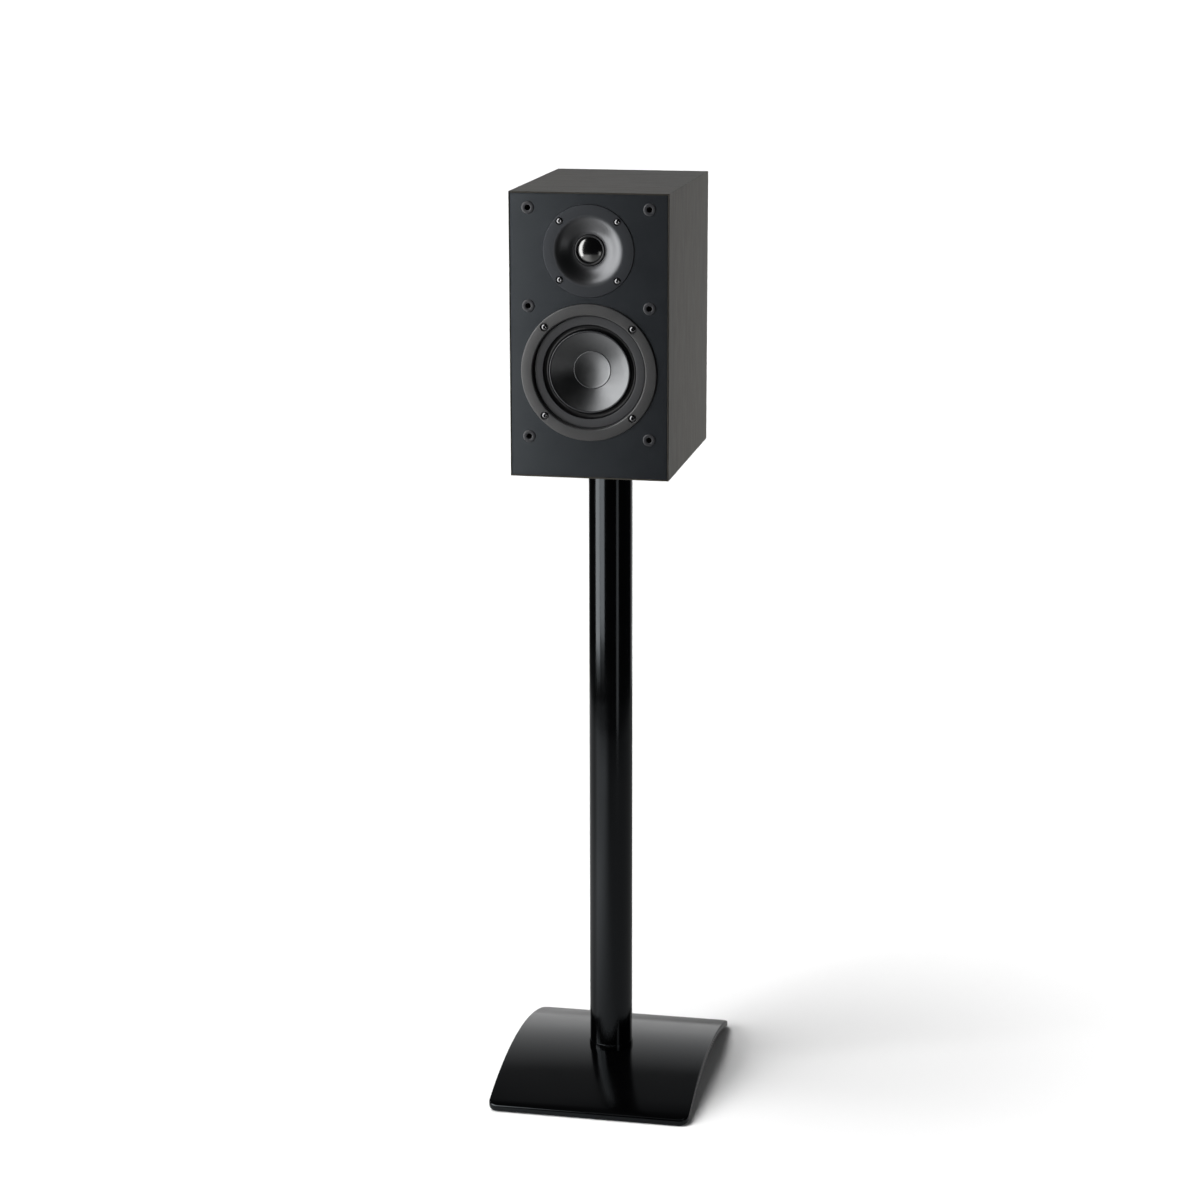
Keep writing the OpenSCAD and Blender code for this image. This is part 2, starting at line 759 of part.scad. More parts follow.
module tweeter_faceplate() {
    steps = 16;
    front = [for (i = [0 : steps])
        let (r = throat_r + (waveguide_r - throat_r) * i / steps) [r, waveguide_at(r)]];
    color("dimgray") behind_baffle(0, tweeter_axis_z) difference() {
        rotate_extrude() polygon(concat(
            front,
            [[faceplate_r - 0.4, -faceplate_proud], [faceplate_r, -faceplate_proud + 0.4],
             [faceplate_r, faceplate_back], [38, faceplate_back], [34, motor_front],
             [throat_r, motor_front]]));
        on_circle(tweeter_screw_circle_r) {
            translate([0, 0, -faceplate_proud - over]) cylinder(r = 3.8, h = 1.6 + over);
            cylinder(r = 1.8, h = 2 * faceplate_t);
        }
    }
}

module tweeter_dome() {
    front = dish(dome_r, dome_edge_depth, -dome_h, 8);
    inside = dish(dome_r - dome_t, dome_edge_depth, dome_t - dome_h, 8);
    color("lightgray") behind_baffle(0, tweeter_axis_z) rotate_extrude() polygon(concat(
        front, [[dome_r, dome_edge_depth + dome_skirt],
                [dome_r - dome_t, dome_edge_depth + dome_skirt]],
        backwards(inside)));
}

module tweeter_surround() {
    roll = [(dome_r + throat_r) / 2, dome_edge_depth + 0.4];
    color("black") behind_baffle(0, tweeter_axis_z) rotate_extrude() polygon(concat(
        [[dome_r + 0.1, roll.y + 0.3]],
        arc(roll, 1.65, 180, 360, 8),
        [[throat_r - 0.15, motor_front], [throat_r - 0.7, motor_front]],
        arc(roll, 1.15, 360, 180, 8),
        [[dome_r + 0.65, roll.y + 0.3]]));
}

module tweeter_voice_coil() {
    start = dome_edge_depth + dome_skirt;
    color("peru") behind_baffle(0, tweeter_axis_z) {
        ring(dome_r - 0.1, dome_r - dome_t, start, start + 6);
        ring(dome_r + 0.3, dome_r - 0.1, start + 1, start + 4);
    }
}

module tweeter_top_plate() {
    color("gray") behind_baffle(0, tweeter_axis_z)
        ring(34, dome_r + 0.8, motor_front, tweeter_magnet_front);
}

module tweeter_magnet() {
    color([0.2, 0.2, 0.2]) behind_baffle(0, tweeter_axis_z)
        ring(36, 18, tweeter_magnet_front, tweeter_yoke_front);
}

module tweeter_yoke() {
    color("gray") behind_baffle(0, tweeter_axis_z) difference() {
        union() {
            ring(34, 0, tweeter_yoke_front, chamber_front);
            ring(tweeter_pole_r, 0, motor_front + 0.2, tweeter_yoke_front);
        }
        cylinder(r = 5, h = chamber_front + over);
    }
}

module tweeter_rear_chamber() {
    color([0.12, 0.12, 0.12]) behind_baffle(0, tweeter_axis_z) {
        ring(chamber_r, chamber_r - 2, chamber_front, chamber_front + chamber_depth);
        ring(chamber_r, 0, chamber_front + chamber_depth - 2, chamber_front + chamber_depth);
    }
}

module tweeter_screws() {
    color("black") behind_baffle(0, tweeter_axis_z) on_circle(tweeter_screw_circle_r)
        translate([0, 0, 1.6 - faceplate_proud]) button_screw(3.2, 1.7, 1.5, 12, 1.3);
}

// ---- Stand ----

module stand_top_plate() {
    color("black") translate([0, column_y, 0]) difference() {
        rounded_slab([top_plate_w, top_plate_d], 8, plate_z, plate_z + plate_t);
        translate([0, 0, plate_z - over]) {
            cylinder(r = 4.2, h = plate_t + 2 * over);
            for (sx = [-1, 1]) translate([sx * insert_x, 0, 0])
                cylinder(r = 3.3, h = plate_t + 2 * over);
        }
    }
}

module isolation_pads() {
    color([0.1, 0.1, 0.1]) translate([0, column_y, 0])
        at_corners([top_plate_w / 2 - 12, top_plate_d / 2 - 12])
            ring(pad_r, 0, cabinet_z - pad_t, cabinet_z);
}

module speaker_bolts() {
    color("silver") for (sx = [-1, 1]) translate([sx * insert_x, column_y, 0]) {
        ring(5, 0, plate_z - 4, plate_z);
        ring(3, 0, plate_z, cabinet_z + insert_depth - 2);
    }
}

// The space under the base plate's upper or lower surface
module under_arch(r) {
    translate([0, 0, arch_z]) rotate([0, 90, 0])
        cylinder(r = r, h = base_w + 2 * over, center = true, $fn = 360);
}

module column() {
    color([0.07, 0.07, 0.07]) difference() {
        translate([0, column_y, crest_z - 2]) cylinder(r = column_r, h = plate_z - crest_z + 2);
        translate([0, column_y, crest_z + plug_t])
            cylinder(r = column_r - column_wall, h = plate_z - crest_z - 2 * plug_t);
        translate([0, column_y, crest_z - 3]) cylinder(r = 4, h = plate_z);
        under_arch(arch_r + base_t);
    }
}

module column_collar() {
    color([0.07, 0.07, 0.07]) difference() {
        translate([0, column_y, 0]) ring(column_r + 0.8, column_r, crest_z - 2, crest_z + 6);
        under_arch(arch_r + base_t);
    }
}

module base_plate() {
    color([0.07, 0.07, 0.07]) difference() {
        intersection() {
            rounded_slab([base_w, base_d], base_corner_r, 0, crest_z + over);
            under_arch(arch_r + base_t);
        }
        under_arch(arch_r);
        translate([0, column_y, 0]) cylinder(r = 4.3, h = crest_z + over);
    }
}

module column_bolts() {
    under_z = feet_t + base_rise - 0.3;
    color("silver") translate([0, column_y, 0]) {
        translate([0, 0, under_z - 5]) cylinder(r = 7.5, h = 5, $fn = 6);
        ring(4, 0, under_z, crest_z + plug_t - 2);
        ring(7, 0, plate_z + plate_t, plate_z + plate_t + 3.4);
        ring(4, 0, plate_z - plug_t + 2, plate_z + plate_t);
    }
}

module base_feet() {
    foot = [24, 10];
    foot_inset = 12;
    color([0.1, 0.1, 0.1]) difference() {
        at_corners([base_w / 2 - 26, base_d / 2 - foot.y / 2 - foot_inset])
            translate([-foot.x / 2, -foot.y / 2, 0]) cube([foot.x, foot.y, 12]);
        // everything above the underside of the arch is cut away
        difference() {
            translate([0, 0, 50]) cube([base_w, base_d, 100], center = true);
            under_arch(arch_r);
        }
    }
}

top_panel();
bottom_panel();
left_side_panel();
right_side_panel();
rear_panel();
front_baffle();
window_brace();
damping_lining();
grille_sockets();
port_tube();
threaded_inserts();
terminal_cup();
terminal_cup_screws();
positive_post();
negative_post();
positive_knob();
negative_knob();
positive_clamp_washer();
negative_clamp_washer();
terminal_nuts();
solder_tags();
crossover_board();
crossover_standoffs();
crossover_screws();
inductor_bobbins();
inductor_windings();
crossover_capacitors();
crossover_resistors();
internal_wiring();
woofer_frame();
woofer_gasket();
woofer_surround();
woofer_cone();
woofer_dust_cap();
woofer_coil_former();
woofer_voice_coil();
woofer_spider();
woofer_top_plate();
woofer_magnet();
woofer_yoke();
woofer_tinsel_leads();
woofer_terminal_strip();
woofer_screws();
tweeter_faceplate();
tweeter_dome();
tweeter_surround();
tweeter_voice_coil();
tweeter_top_plate();
tweeter_magnet();
tweeter_yoke();
tweeter_rear_chamber();
tweeter_screws();
stand_top_plate();
isolation_pads();
speaker_bolts();
column();
column_collar();
base_plate();
column_bolts();
base_feet();
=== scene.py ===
"""The looks of a two-way bookshelf speaker on its floor stand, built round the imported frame.

Lengths are in metres, except outlines, which are in millimetres and multiplied by MM.
An outline is a list of (radius, depth) points; a third value rounds that corner off.
"""

import json
import math

import bmesh
import bpy
from mathutils import Matrix, Vector


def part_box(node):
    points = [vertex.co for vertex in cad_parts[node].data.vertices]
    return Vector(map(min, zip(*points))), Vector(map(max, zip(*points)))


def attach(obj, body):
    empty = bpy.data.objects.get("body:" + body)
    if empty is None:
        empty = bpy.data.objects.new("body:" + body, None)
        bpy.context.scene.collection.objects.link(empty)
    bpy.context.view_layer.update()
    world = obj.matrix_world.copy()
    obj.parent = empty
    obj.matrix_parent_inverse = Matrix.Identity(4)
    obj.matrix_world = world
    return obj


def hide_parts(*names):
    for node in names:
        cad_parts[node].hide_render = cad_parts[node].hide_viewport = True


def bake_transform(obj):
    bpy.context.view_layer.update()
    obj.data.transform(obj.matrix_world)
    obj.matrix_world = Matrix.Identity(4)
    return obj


MM = 0.001
FLOOR_GLOW = 0.02
ROOM = 0.01
INWARD = Vector((0, 1, 0))
FORWARD = Vector((0, -1, 0))
UP = Vector((0, 0, 1))

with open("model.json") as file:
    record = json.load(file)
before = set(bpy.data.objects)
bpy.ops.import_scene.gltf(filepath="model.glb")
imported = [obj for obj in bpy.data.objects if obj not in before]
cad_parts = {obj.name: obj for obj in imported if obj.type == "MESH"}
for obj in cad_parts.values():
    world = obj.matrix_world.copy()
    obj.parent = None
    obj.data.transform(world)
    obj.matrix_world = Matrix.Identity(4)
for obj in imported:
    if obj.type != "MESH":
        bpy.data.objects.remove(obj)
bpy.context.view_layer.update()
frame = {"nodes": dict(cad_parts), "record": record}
NODES = frame["nodes"]
BODY_OF = {node: body for body, nodes in frame["record"]["behaviour"]["bodies"].items() for node in nodes}


# ---- Camera, light and floor ----

def make_camera():
    """A long lens, a little to the right of the speaker and above it, aimed down the stand."""
    yaw, pitch, roll = math.radians(11.396), math.radians(14.06), math.radians(-0.109)
    forward = Vector((-math.sin(yaw) * math.cos(pitch), math.cos(yaw) * math.cos(pitch), -math.sin(pitch)))
    level = Vector((math.cos(yaw), math.sin(yaw), 0))
    above = level.cross(forward)
    right = level * math.cos(roll) + above * math.sin(roll)
    up = above * math.cos(roll) - level * math.sin(roll)
    camera = bpy.data.objects.new("camera", bpy.data.cameras.new("camera"))
    camera.data.lens = 85.71
    camera.data.sensor_width = 36
    camera.data.clip_end = 200
    turn = Matrix((right, up, -forward)).transposed().to_4x4()
    camera.matrix_world = Matrix.Translation((0.5784, -2.9345, 1.2911)) @ turn
    bpy.context.collection.objects.link(camera)
    bpy.context.scene.camera = camera


def make_panel(name, turn, distance, width, low, high, brightness):
    """An upright softbox that faces the stand. Turn is in degrees to the right of straight in front."""
    way = Vector((math.sin(math.radians(turn)), -math.cos(math.radians(turn)), 0))
    data = bpy.data.lights.new(name, "AREA")
    data.shape = "RECTANGLE"
    data.size = width
    data.size_y = high - low
    data.energy = math.pi * width * (high - low) * brightness
    panel = bpy.data.objects.new(name, data)
    panel.location = way * distance + UP * (low + high) / 2
    panel.rotation_euler = (-way).to_track_quat("-Z", "Y").to_euler()
    bpy.context.collection.objects.link(panel)
    return panel


def make_sun(name, turn, height, spread, strength):
    """A soft light from far away that shows in no reflection. Turn is as for a panel, height in degrees."""
    data = bpy.data.lights.new(name, "SUN")
    data.energy = strength
    data.angle = math.radians(spread)
    sun = bpy.data.objects.new(name, data)
    sun.rotation_euler = (math.radians(90 - height), 0, math.radians(turn))
    sun.visible_glossy = False
    bpy.context.collection.objects.link(sun)
    return sun


def light_only(light, piece, state="INCLUDE"):
    """Makes a light shine on a piece alone, or with EXCLUDE on everything but the pieces named so."""
    group = light.light_linking.receiver_collection
    if not group:
        group = bpy.data.collections.new(light.name + "_reach")
        light.light_linking.receiver_collection = group
    group.objects.link(piece)
    group.collection_objects[-1].light_linking.link_state = state


def make_lights(floor, mirrored_floor):
    """A large softbox close by on the left, a small low one at the right and an even light on the right side.

    The floor has two lights of its own, which keep it white out to the horizon: the high one draws the
    dark edge of the shadow close to the base, and the low one draws the wide pale part."""
    key = make_panel("key", -60, 1.0, 0.45, 0.3, 1.85, 4.5)
    edge = make_panel("key_edge", -34, 1.0, 0.42, 0.34, 1.8, 3.3)
    fill = make_panel("fill", 46, 1.5, 0.3, 0.08, 0.6, 0.9)
    wall = make_panel("side_wall", 132, 0.9, 0.8, 0.3, 0.99, 3.7)
    rear = make_sun("rear_wall", 165, 12, 50, 0.14)
    ceiling = make_panel("ceiling", 0, 0.2, 1.0, 2.1, 3.1, 0.5)
    ceiling.rotation_euler = (0, 0, 0)
    for light in (key, edge, fill, wall, rear, ceiling):
        light_only(light, floor, "EXCLUDE")
    wall.visible_glossy = False
    for light in (wall, rear, ceiling):
        light_only(light, mirrored_floor, "EXCLUDE")
    light_only(make_sun("low_floor_sun", -48, 22, 40, 4.2), floor)
    light_only(make_sun("high_floor_sun", -70, 70, 34, 2.65), floor)


def make_world():
    """A dark room with a bright wall behind the speaker, which its glossy faces pick up."""
    world = bpy.data.worlds.new("studio")
    world.use_nodes = True
    nodes, links = world.node_tree.nodes, world.node_tree.links
    way = nodes.new("ShaderNodeTexCoord").outputs["Generated"]
    height = nodes.new("ShaderNodeSeparateXYZ")
    links.new(way, height.inputs[0])
    flat = nodes.new("ShaderNodeVectorMath")
    flat.operation = "MULTIPLY"
    flat.inputs[1].default_value = (1, 1, 0)
    links.new(way, flat.inputs[0])
    bearing = nodes.new("ShaderNodeVectorMath")
    bearing.operation = "NORMALIZE"
    links.new(flat.outputs[0], bearing.inputs[0])
    behind = nodes.new("ShaderNodeVectorMath")
    behind.operation = "DOT_PRODUCT"
    behind.inputs[1].default_value = (-0.03, 1, 0)
    links.new(bearing.outputs[0], behind.inputs[0])
    wall = nodes.new("ShaderNodeMapRange")
    wall.interpolation_type = "SMOOTHSTEP"
    wall.inputs["From Min"].default_value = 0.68
    wall.inputs["From Max"].default_value = 0.93
    links.new(behind.outputs["Value"], wall.inputs["Value"])
    raised = nodes.new("ShaderNodeMapRange")
    raised.inputs["From Min"].default_value = -1
    links.new(height.outputs["Z"], raised.inputs["Value"])
    glow = nodes.new("ShaderNodeValToRGB")
    glow.color_ramp.elements[0].position = 0.1
    glow.color_ramp.elements[0].color = (0.35, 0.35, 0.35, 1)
    glow.color_ramp.elements[1].position = 0.95
    glow.color_ramp.elements[1].color = (0.03, 0.03, 0.03, 1)
    for position, level in ((0.6, 0.8), (0.75, 0.45), (0.8, 0.3), (0.84, 0.12), (0.92, 0.13)):
        glow.color_ramp.elements.new(position).color = (level, level, level, 1)
    links.new(raised.outputs["Result"], glow.inputs["Fac"])
    mix = nodes.new("ShaderNodeMix")
    mix.data_type = "RGBA"
    mix.inputs["A"].default_value = (ROOM, ROOM, ROOM * 1.1, 1)
    links.new(wall.outputs["Result"], mix.inputs["Factor"])
    links.new(glow.outputs["Color"], mix.inputs["B"])
    links.new(mix.outputs["Result"], nodes["Background"].inputs["Color"])
    nodes["Background"].inputs["Strength"].default_value = 1.1
    bpy.context.scene.world = world


def make_stage():
    """A plain white floor and backdrop for the camera, and the near floor as glossy faces mirror it.

    The near floor lies just below the other and glows with a painted pool of light, dimmer towards the unlit right."""
    far = 40
    shell, sheet, patch = bmesh.new(), bmesh.new(), bmesh.new()
    bmesh.ops.create_uvsphere(shell, u_segments=48, v_segments=24, radius=far)
    bmesh.ops.create_circle(sheet, cap_ends=True, segments=96, radius=far)
    bmesh.ops.create_circle(patch, cap_ends=True, segments=96, radius=1.8)
    bmesh.ops.translate(patch, verts=patch.verts, vec=(0, 0, -0.001))
    for name, shape, white, glow in (("floor", sheet, 0.8, FLOOR_GLOW), ("backdrop", shell, 0.0, 1.0),
                                     ("mirrored_floor", patch, 0.3, 1.0)):
        data = bpy.data.meshes.new(name)
        shape.to_mesh(data)
        shape.free()
        piece = bpy.data.objects.new(name, data)
        piece.data.materials.append(stage_look(name, white, glow))
        mirrored = name == "mirrored_floor"
        piece.visible_camera = not mirrored
        piece.visible_glossy = mirrored
        piece.visible_diffuse = piece.visible_shadow = False
        if mirrored:
            # The mirrored floor's glow is a painted pool of light, for glossy faces to reflect.
            paint_floor_light_pool(piece.active_material)
        bpy.context.collection.objects.link(piece)
    return bpy.data.objects["floor"], bpy.data.objects["mirrored_floor"]


def stage_look(name, white, glow):
    """A matt white that also glows a little, so that it stays even far from the lights."""
    material = bpy.data.materials.new(name)
    material.use_nodes = True
    shader = material.node_tree.nodes["Principled BSDF"]
    shader.inputs["Base Color"].default_value = (white, white, white, 1)
    shader.inputs["Roughness"].default_value = 1
    shader.inputs["Specular IOR Level"].default_value = 0
    shader.inputs["Emission Color"].default_value = (1, 1, 1, 1)
    shader.inputs["Emission Strength"].default_value = glow
    return material


def paint_floor_light_pool(material):
    """Paints a pool of light into a floor's glow: brightest in front of the lights on the left, and least straight to
    the left and right.
    """
    nodes, links = material.node_tree.nodes, material.node_tree.links
    place = nodes.new("ShaderNodeSeparateXYZ")
    links.new(nodes.new("ShaderNodeTexCoord").outputs["Object"], place.inputs[0])
    fade = nodes.new("ShaderNodeMapRange")
    fade.interpolation_type = "SMOOTHSTEP"
    fade.inputs["From Min"].default_value = -0.7
    fade.inputs["From Max"].default_value = 0.2
    fade.inputs["To Min"].default_value = 0.9
    fade.inputs["To Max"].default_value = 0.14
    links.new(place.outputs["X"], fade.inputs["Value"])
    bearing = nodes.new("ShaderNodeVectorMath")
    bearing.operation = "NORMALIZE"
    links.new(nodes.new("ShaderNodeTexCoord").outputs["Object"], bearing.inputs[0])
    leftness = nodes.new("ShaderNodeVectorMath")
    leftness.operation = "DOT_PRODUCT"
    leftness.inputs[1].default_value = (-0.94, 0.34, 0)
    links.new(bearing.outputs[0], leftness.inputs[0])
    dim = nodes.new("ShaderNodeMapRange")
    dim.inputs["From Min"].default_value = 0.7
    dim.inputs["From Max"].default_value = 0.9
    dim.inputs["To Min"].default_value = 1.0
    dim.inputs["To Max"].default_value = 0.35
    links.new(leftness.outputs["Value"], dim.inputs["Value"])
    glow = nodes.new("ShaderNodeMath")
    glow.operation = "MULTIPLY"
    links.new(fade.outputs["Result"], glow.inputs[0])
    links.new(dim.outputs["Result"], glow.inputs[1])
    links.new(glow.outputs[0], nodes["Principled BSDF"].inputs["Emission Strength"])


# ---- Materials ----

class Look:
    """One Principled material, with short calls for the nodes that feed it."""

    def __init__(self, name, color, roughness=0.5, metallic=0.0, **sockets):
        self.material = bpy.data.materials.new(name)
        self.material.use_nodes = True
        self.nodes = self.material.node_tree.nodes
        self.links = self.material.node_tree.links
        self.shader = self.nodes["Principled BSDF"]
        self.place = self.nodes.new("ShaderNodeTexCoord").outputs["Object"]
        self.normal = None
        self.shader.inputs["Base Color"].default_value = (*color, 1)
        self.shader.inputs["Roughness"].default_value = roughness
        self.shader.inputs["Metallic"].default_value = metallic
        for socket, value in sockets.items():
            self.shader.inputs[socket.replace("_", " ")].default_value = value

    def mapped(self, scale, centre=(0, 0, 0)):
        """Places in the row frame, measured from a centre and multiplied by a scale."""
        shift = self.nodes.new("ShaderNodeVectorMath")
        shift.operation = "SUBTRACT"
        shift.inputs[1].default_value = centre
        self.links.new(self.place, shift.inputs[0])
        grow = self.nodes.new("ShaderNodeVectorMath")
        grow.operation = "MULTIPLY"
        grow.inputs[1].default_value = scale
        self.links.new(shift.outputs[0], grow.inputs[0])
        return grow.outputs[0]

    def noise(self, size, stretch=(1, 1, 1), detail=2.0, rough=0.5):
        """Soft blotches of about this size, drawn out along the axes by "stretch"."""
        texture = self.nodes.new("ShaderNodeTexNoise")
        texture.inputs["Scale"].default_value = 1
        texture.inputs["Detail"].default_value = detail
        texture.inputs["Roughness"].default_value = rough
        scale = [1 / (size * amount) for amount in stretch]
        self.links.new(self.mapped(scale), texture.inputs["Vector"])
        return texture.outputs["Fac"]

    def cells(self, size):
        """Distance from the nearest of many scattered points of about this spacing."""
        texture = self.nodes.new("ShaderNodeTexVoronoi")
        texture.inputs["Scale"].default_value = 1
        self.links.new(self.mapped([1 / size] * 3), texture.inputs["Vector"])
        return texture.outputs["Distance"]

    def distance_from(self, centre):
        """Distance from the axis that runs through a centre from front to back."""
        node = self.nodes.new("ShaderNodeVectorMath")
        node.operation = "LENGTH"
        self.links.new(self.mapped((1, 0, 1), centre), node.inputs[0])
        return node.outputs["Value"]

    def waves(self, pitch, centre=(0, 0, 0), form="RINGS", axis="Y"):
        """Even lines of this pitch: rings round an axis, or bands along it."""
        texture = self.nodes.new("ShaderNodeTexWave")
        texture.wave_type = form
        if form == "RINGS":
            texture.rings_direction = axis
        else:
            texture.bands_direction = axis
        texture.inputs["Scale"].default_value = 2 * math.pi / 20
        self.links.new(self.mapped([1 / pitch] * 3, centre), texture.inputs["Vector"])
        return texture.outputs["Fac"]

    def ranged(self, factor, low, high, start=0.0, end=1.0):
        """A factor from start to end turned into a value from low to high."""
        node = self.nodes.new("ShaderNodeMapRange")
        node.inputs["From Min"].default_value = start
        node.inputs["From Max"].default_value = end
        node.inputs["To Min"].default_value = low
        node.inputs["To Max"].default_value = high
        self.links.new(factor, node.inputs["Value"])
        return node.outputs["Result"]

    def tint(self, factor, low, high, start=0.3, end=0.7):
        """Colours the surface from low to high as the factor grows."""
        node = self.nodes.new("ShaderNodeMix")
        node.data_type = "RGBA"
        node.inputs["A"].default_value = (*low, 1)
        node.inputs["B"].default_value = (*high, 1)
        self.links.new(self.ranged(factor, 0, 1, start, end), node.inputs["Factor"])
        self.links.new(node.outputs["Result"], self.shader.inputs["Base Color"])

    def polish(self, factor, low, high, start=0.3, end=0.7):
        """Varies the roughness with a factor."""
        self.links.new(self.ranged(factor, low, high, start, end), self.shader.inputs["Roughness"])

    def bump(self, factor, height):
        """Raises the surface by up to "height" metres where the factor is high."""
        node = self.nodes.new("ShaderNodeBump")
        node.inputs["Strength"].default_value = 1
        node.inputs["Distance"].default_value = height
        self.links.new(factor, node.inputs["Height"])
        if self.normal:
            self.links.new(self.normal, node.inputs["Normal"])
        self.normal = node.outputs["Normal"]
        self.links.new(self.normal, self.shader.inputs["Normal"])


def wrap_look():
    """Charcoal vinyl wrap with a fine ash grain that runs round the cabinet."""
    look = Look("vinyl_wrap", (0.058, 0.055, 0.0465), 0.5, Specular_IOR_Level=0.22)
    pores = look.noise(0.0007, (45, 1, 45), 3, 0.6)
    bands = look.noise(0.012, (14, 1, 14), 2)
    mottle = look.noise(0.0005, (1, 1, 1), 1)
    look.tint(bands, (0.056, 0.054, 0.0465), (0.063, 0.058, 0.048), 0.35, 0.65)
    look.polish(pores, 0.44, 0.6)
    look.bump(pores, 0.00003)
    look.bump(mottle, 0.00001)
    return look.material


def board_look(name, color, fleck):
    """Fibreboard with fine flecks and a slightly furry surface."""
    look = Look(name, color, 0.85)
    fibres = look.noise(0.0012, (1, 1, 1), 4, 0.7)
    look.tint(fibres, fleck, color)
    look.bump(fibres, 0.00006)
    return look.material


def baffle_look():
    """Blue-black baffle paint with a fine pebbled texture."""
    look = Look("baffle_paint", (0.0038, 0.005, 0.0075), 0.31, Specular_IOR_Level=1.0)
    pebbles = look.noise(0.001, (1, 1, 1), 2, 0.6)
    drift = look.noise(0.03, (1, 1, 1), 2)
    look.tint(pebbles, (0.003, 0.004, 0.006), (0.005, 0.0065, 0.0095))
    look.shader.inputs["Specular Tint"].default_value = (0.88, 0.95, 1, 1)
    look.polish(drift, 0.295, 0.315)
    look.bump(pebbles, 0.00007)
    return look.material


def frame_look(name, color, roughness, metallic, shine):
    """Satin paint on a drive unit's frame."""
    look = Look(name, color, roughness, metallic, Specular_IOR_Level=shine)
    grain = look.noise(0.0004, (1, 1, 1), 2)
    look.tint(grain, [value * 0.92 for value in color], [value * 1.1 for value in color])
    look.polish(look.noise(0.02), roughness - 0.03, roughness + 0.03)
    look.bump(grain, 0.000008)
    return look.material


def faceplate_look(centre, bowl_r):
    """Satin metal in the waveguide, darker and flatter on the rim outside it."""
    look = Look("tweeter_satin", (0.12, 0.122, 0.127), 0.33, 0.98)
    reach = look.distance_from(centre)
    look.tint(reach, (0.116, 0.118, 0.122), (0.05, 0.053, 0.058), bowl_r - 0.0045, bowl_r + 0.001)
    look.polish(reach, 0.33, 0.5, bowl_r - 0.003, bowl_r + 0.001)
    look.bump(look.noise(0.0006, (1, 1, 1), 2), 0.000004)
    return look.material


def rubber_look(name, color, roughness=0.5):
    """Moulded rubber with a faint bloom and a fine skin."""
    look = Look(name, color, roughness, Specular_IOR_Level=0.5)
    bloom = look.noise(0.008, (1, 1, 1), 3)
    skin = look.noise(0.0003, (1, 1, 1), 2)
    look.tint(bloom, [value * 0.86 for value in color], [value * 1.15 for value in color])
    look.polish(bloom, roughness - 0.05, roughness + 0.06)
    look.bump(skin, 0.000006)
    return look.material


def surround_look(centre):
    """Moulded rubber: grey on the flat land, softer in the roll, where painted shade makes the groove black, and shiny
    on the bead at the cone.
    """
    look = Look("surround_rubber", (0.035, 0.036, 0.038), 0.42, Specular_IOR_Level=0.5)
    radius = look.distance_from(centre)
    painted_roll_shade = look.nodes.new("ShaderNodeMath")
    painted_roll_shade.operation = "COMPARE"
    painted_roll_shade.inputs[1].default_value = 0.0454
    painted_roll_shade.inputs[2].default_value = 0.0031
    look.links.new(radius, painted_roll_shade.inputs[0])
    # The roll's near-black colour is painted shade in its groove, not a darker rubber.
    look.tint(painted_roll_shade.outputs[0], (0.042, 0.043, 0.046), (0.0025, 0.0025, 0.003), 0, 1)
    look.polish(radius, 0.26, 0.42, 0.0425, 0.048)
    look.bump(look.noise(0.0003, (1, 1, 1), 2), 0.000006)
    return look.material


def cone_look(centre):
    """Silver-grey spun metal: faint rings round the cone's axis."""
    look = Look("cone_metal", (0.145, 0.148, 0.151), 0.37, 1.0)
    rings = look.waves(0.0007, centre)
    grain = look.noise(0.0004, (1, 1, 1), 2)
    look.tint(grain, (0.135, 0.138, 0.141), (0.155, 0.158, 0.161))
    look.polish(look.noise(0.006), 0.35, 0.4)
    look.bump(rings, 0.000003)
    look.bump(grain, 0.000004)
    return look.material


def dome_look(centre):
    """Dark polished metal, drawn thin."""
    look = Look("dome_metal", (0.2, 0.2, 0.197), 0.17, 1.0)
    haze = look.noise(0.002, (1, 1, 1), 2)
    look.polish(haze, 0.15, 0.19)
    look.bump(look.waves(0.0004, centre), 0.0000004)
    return look.material


def gloss_black_look():
    """Deep black lacquer on steel, with the faintest orange peel."""
    look = Look("gloss_black", (0.0012, 0.0012, 0.0014), 0.12, Specular_IOR_Level=0.5)
    peel = look.noise(0.004, (1, 1, 1), 1)
    dust = look.noise(0.0006, (1, 1, 1), 3, 0.7)
    look.tint(dust, (0.001, 0.001, 0.0012), (0.0026, 0.0026, 0.0028), 0.55, 0.8)
    look.shader.inputs["Specular Tint"].default_value = (0.87, 0.94, 1, 1)
    look.polish(look.noise(0.03), 0.1, 0.16)
    look.bump(peel, 0.000004)
    return look.material


def screw_look():
    """Black chrome on socket screws."""
    look = Look("black_screw", (0.2, 0.2, 0.205), 0.14, 1.0)
    look.polish(look.noise(0.001), 0.11, 0.18)
    look.bump(look.noise(0.0003), 0.000003)
    return look.material


def plastic_look(name, color, roughness=0.45, grain=0.00001):
    """Moulded plastic with a fine spark-eroded grain."""
    look = Look(name, color, roughness)
    spark = look.noise(0.0004, (1, 1, 1), 2)
    look.tint(spark, [value * 0.88 for value in color], [value * 1.12 for value in color])
    look.polish(look.noise(0.01), roughness - 0.04, roughness + 0.05)
    look.bump(spark, grain)
    return look.material


def metal_look(name, color, roughness, stretch=(1, 1, 1)):
    """Plated or brushed metal, with scratches drawn out along one axis."""
    look = Look(name, color, roughness, 1.0)
    brush = look.noise(0.0004, stretch, 3, 0.6)
    look.tint(brush, [value * 0.9 for value in color], [min(1, value * 1.06) for value in color])
    look.polish(brush, roughness - 0.06, roughness + 0.08)
    look.bump(brush, 0.000004)
    return look.material


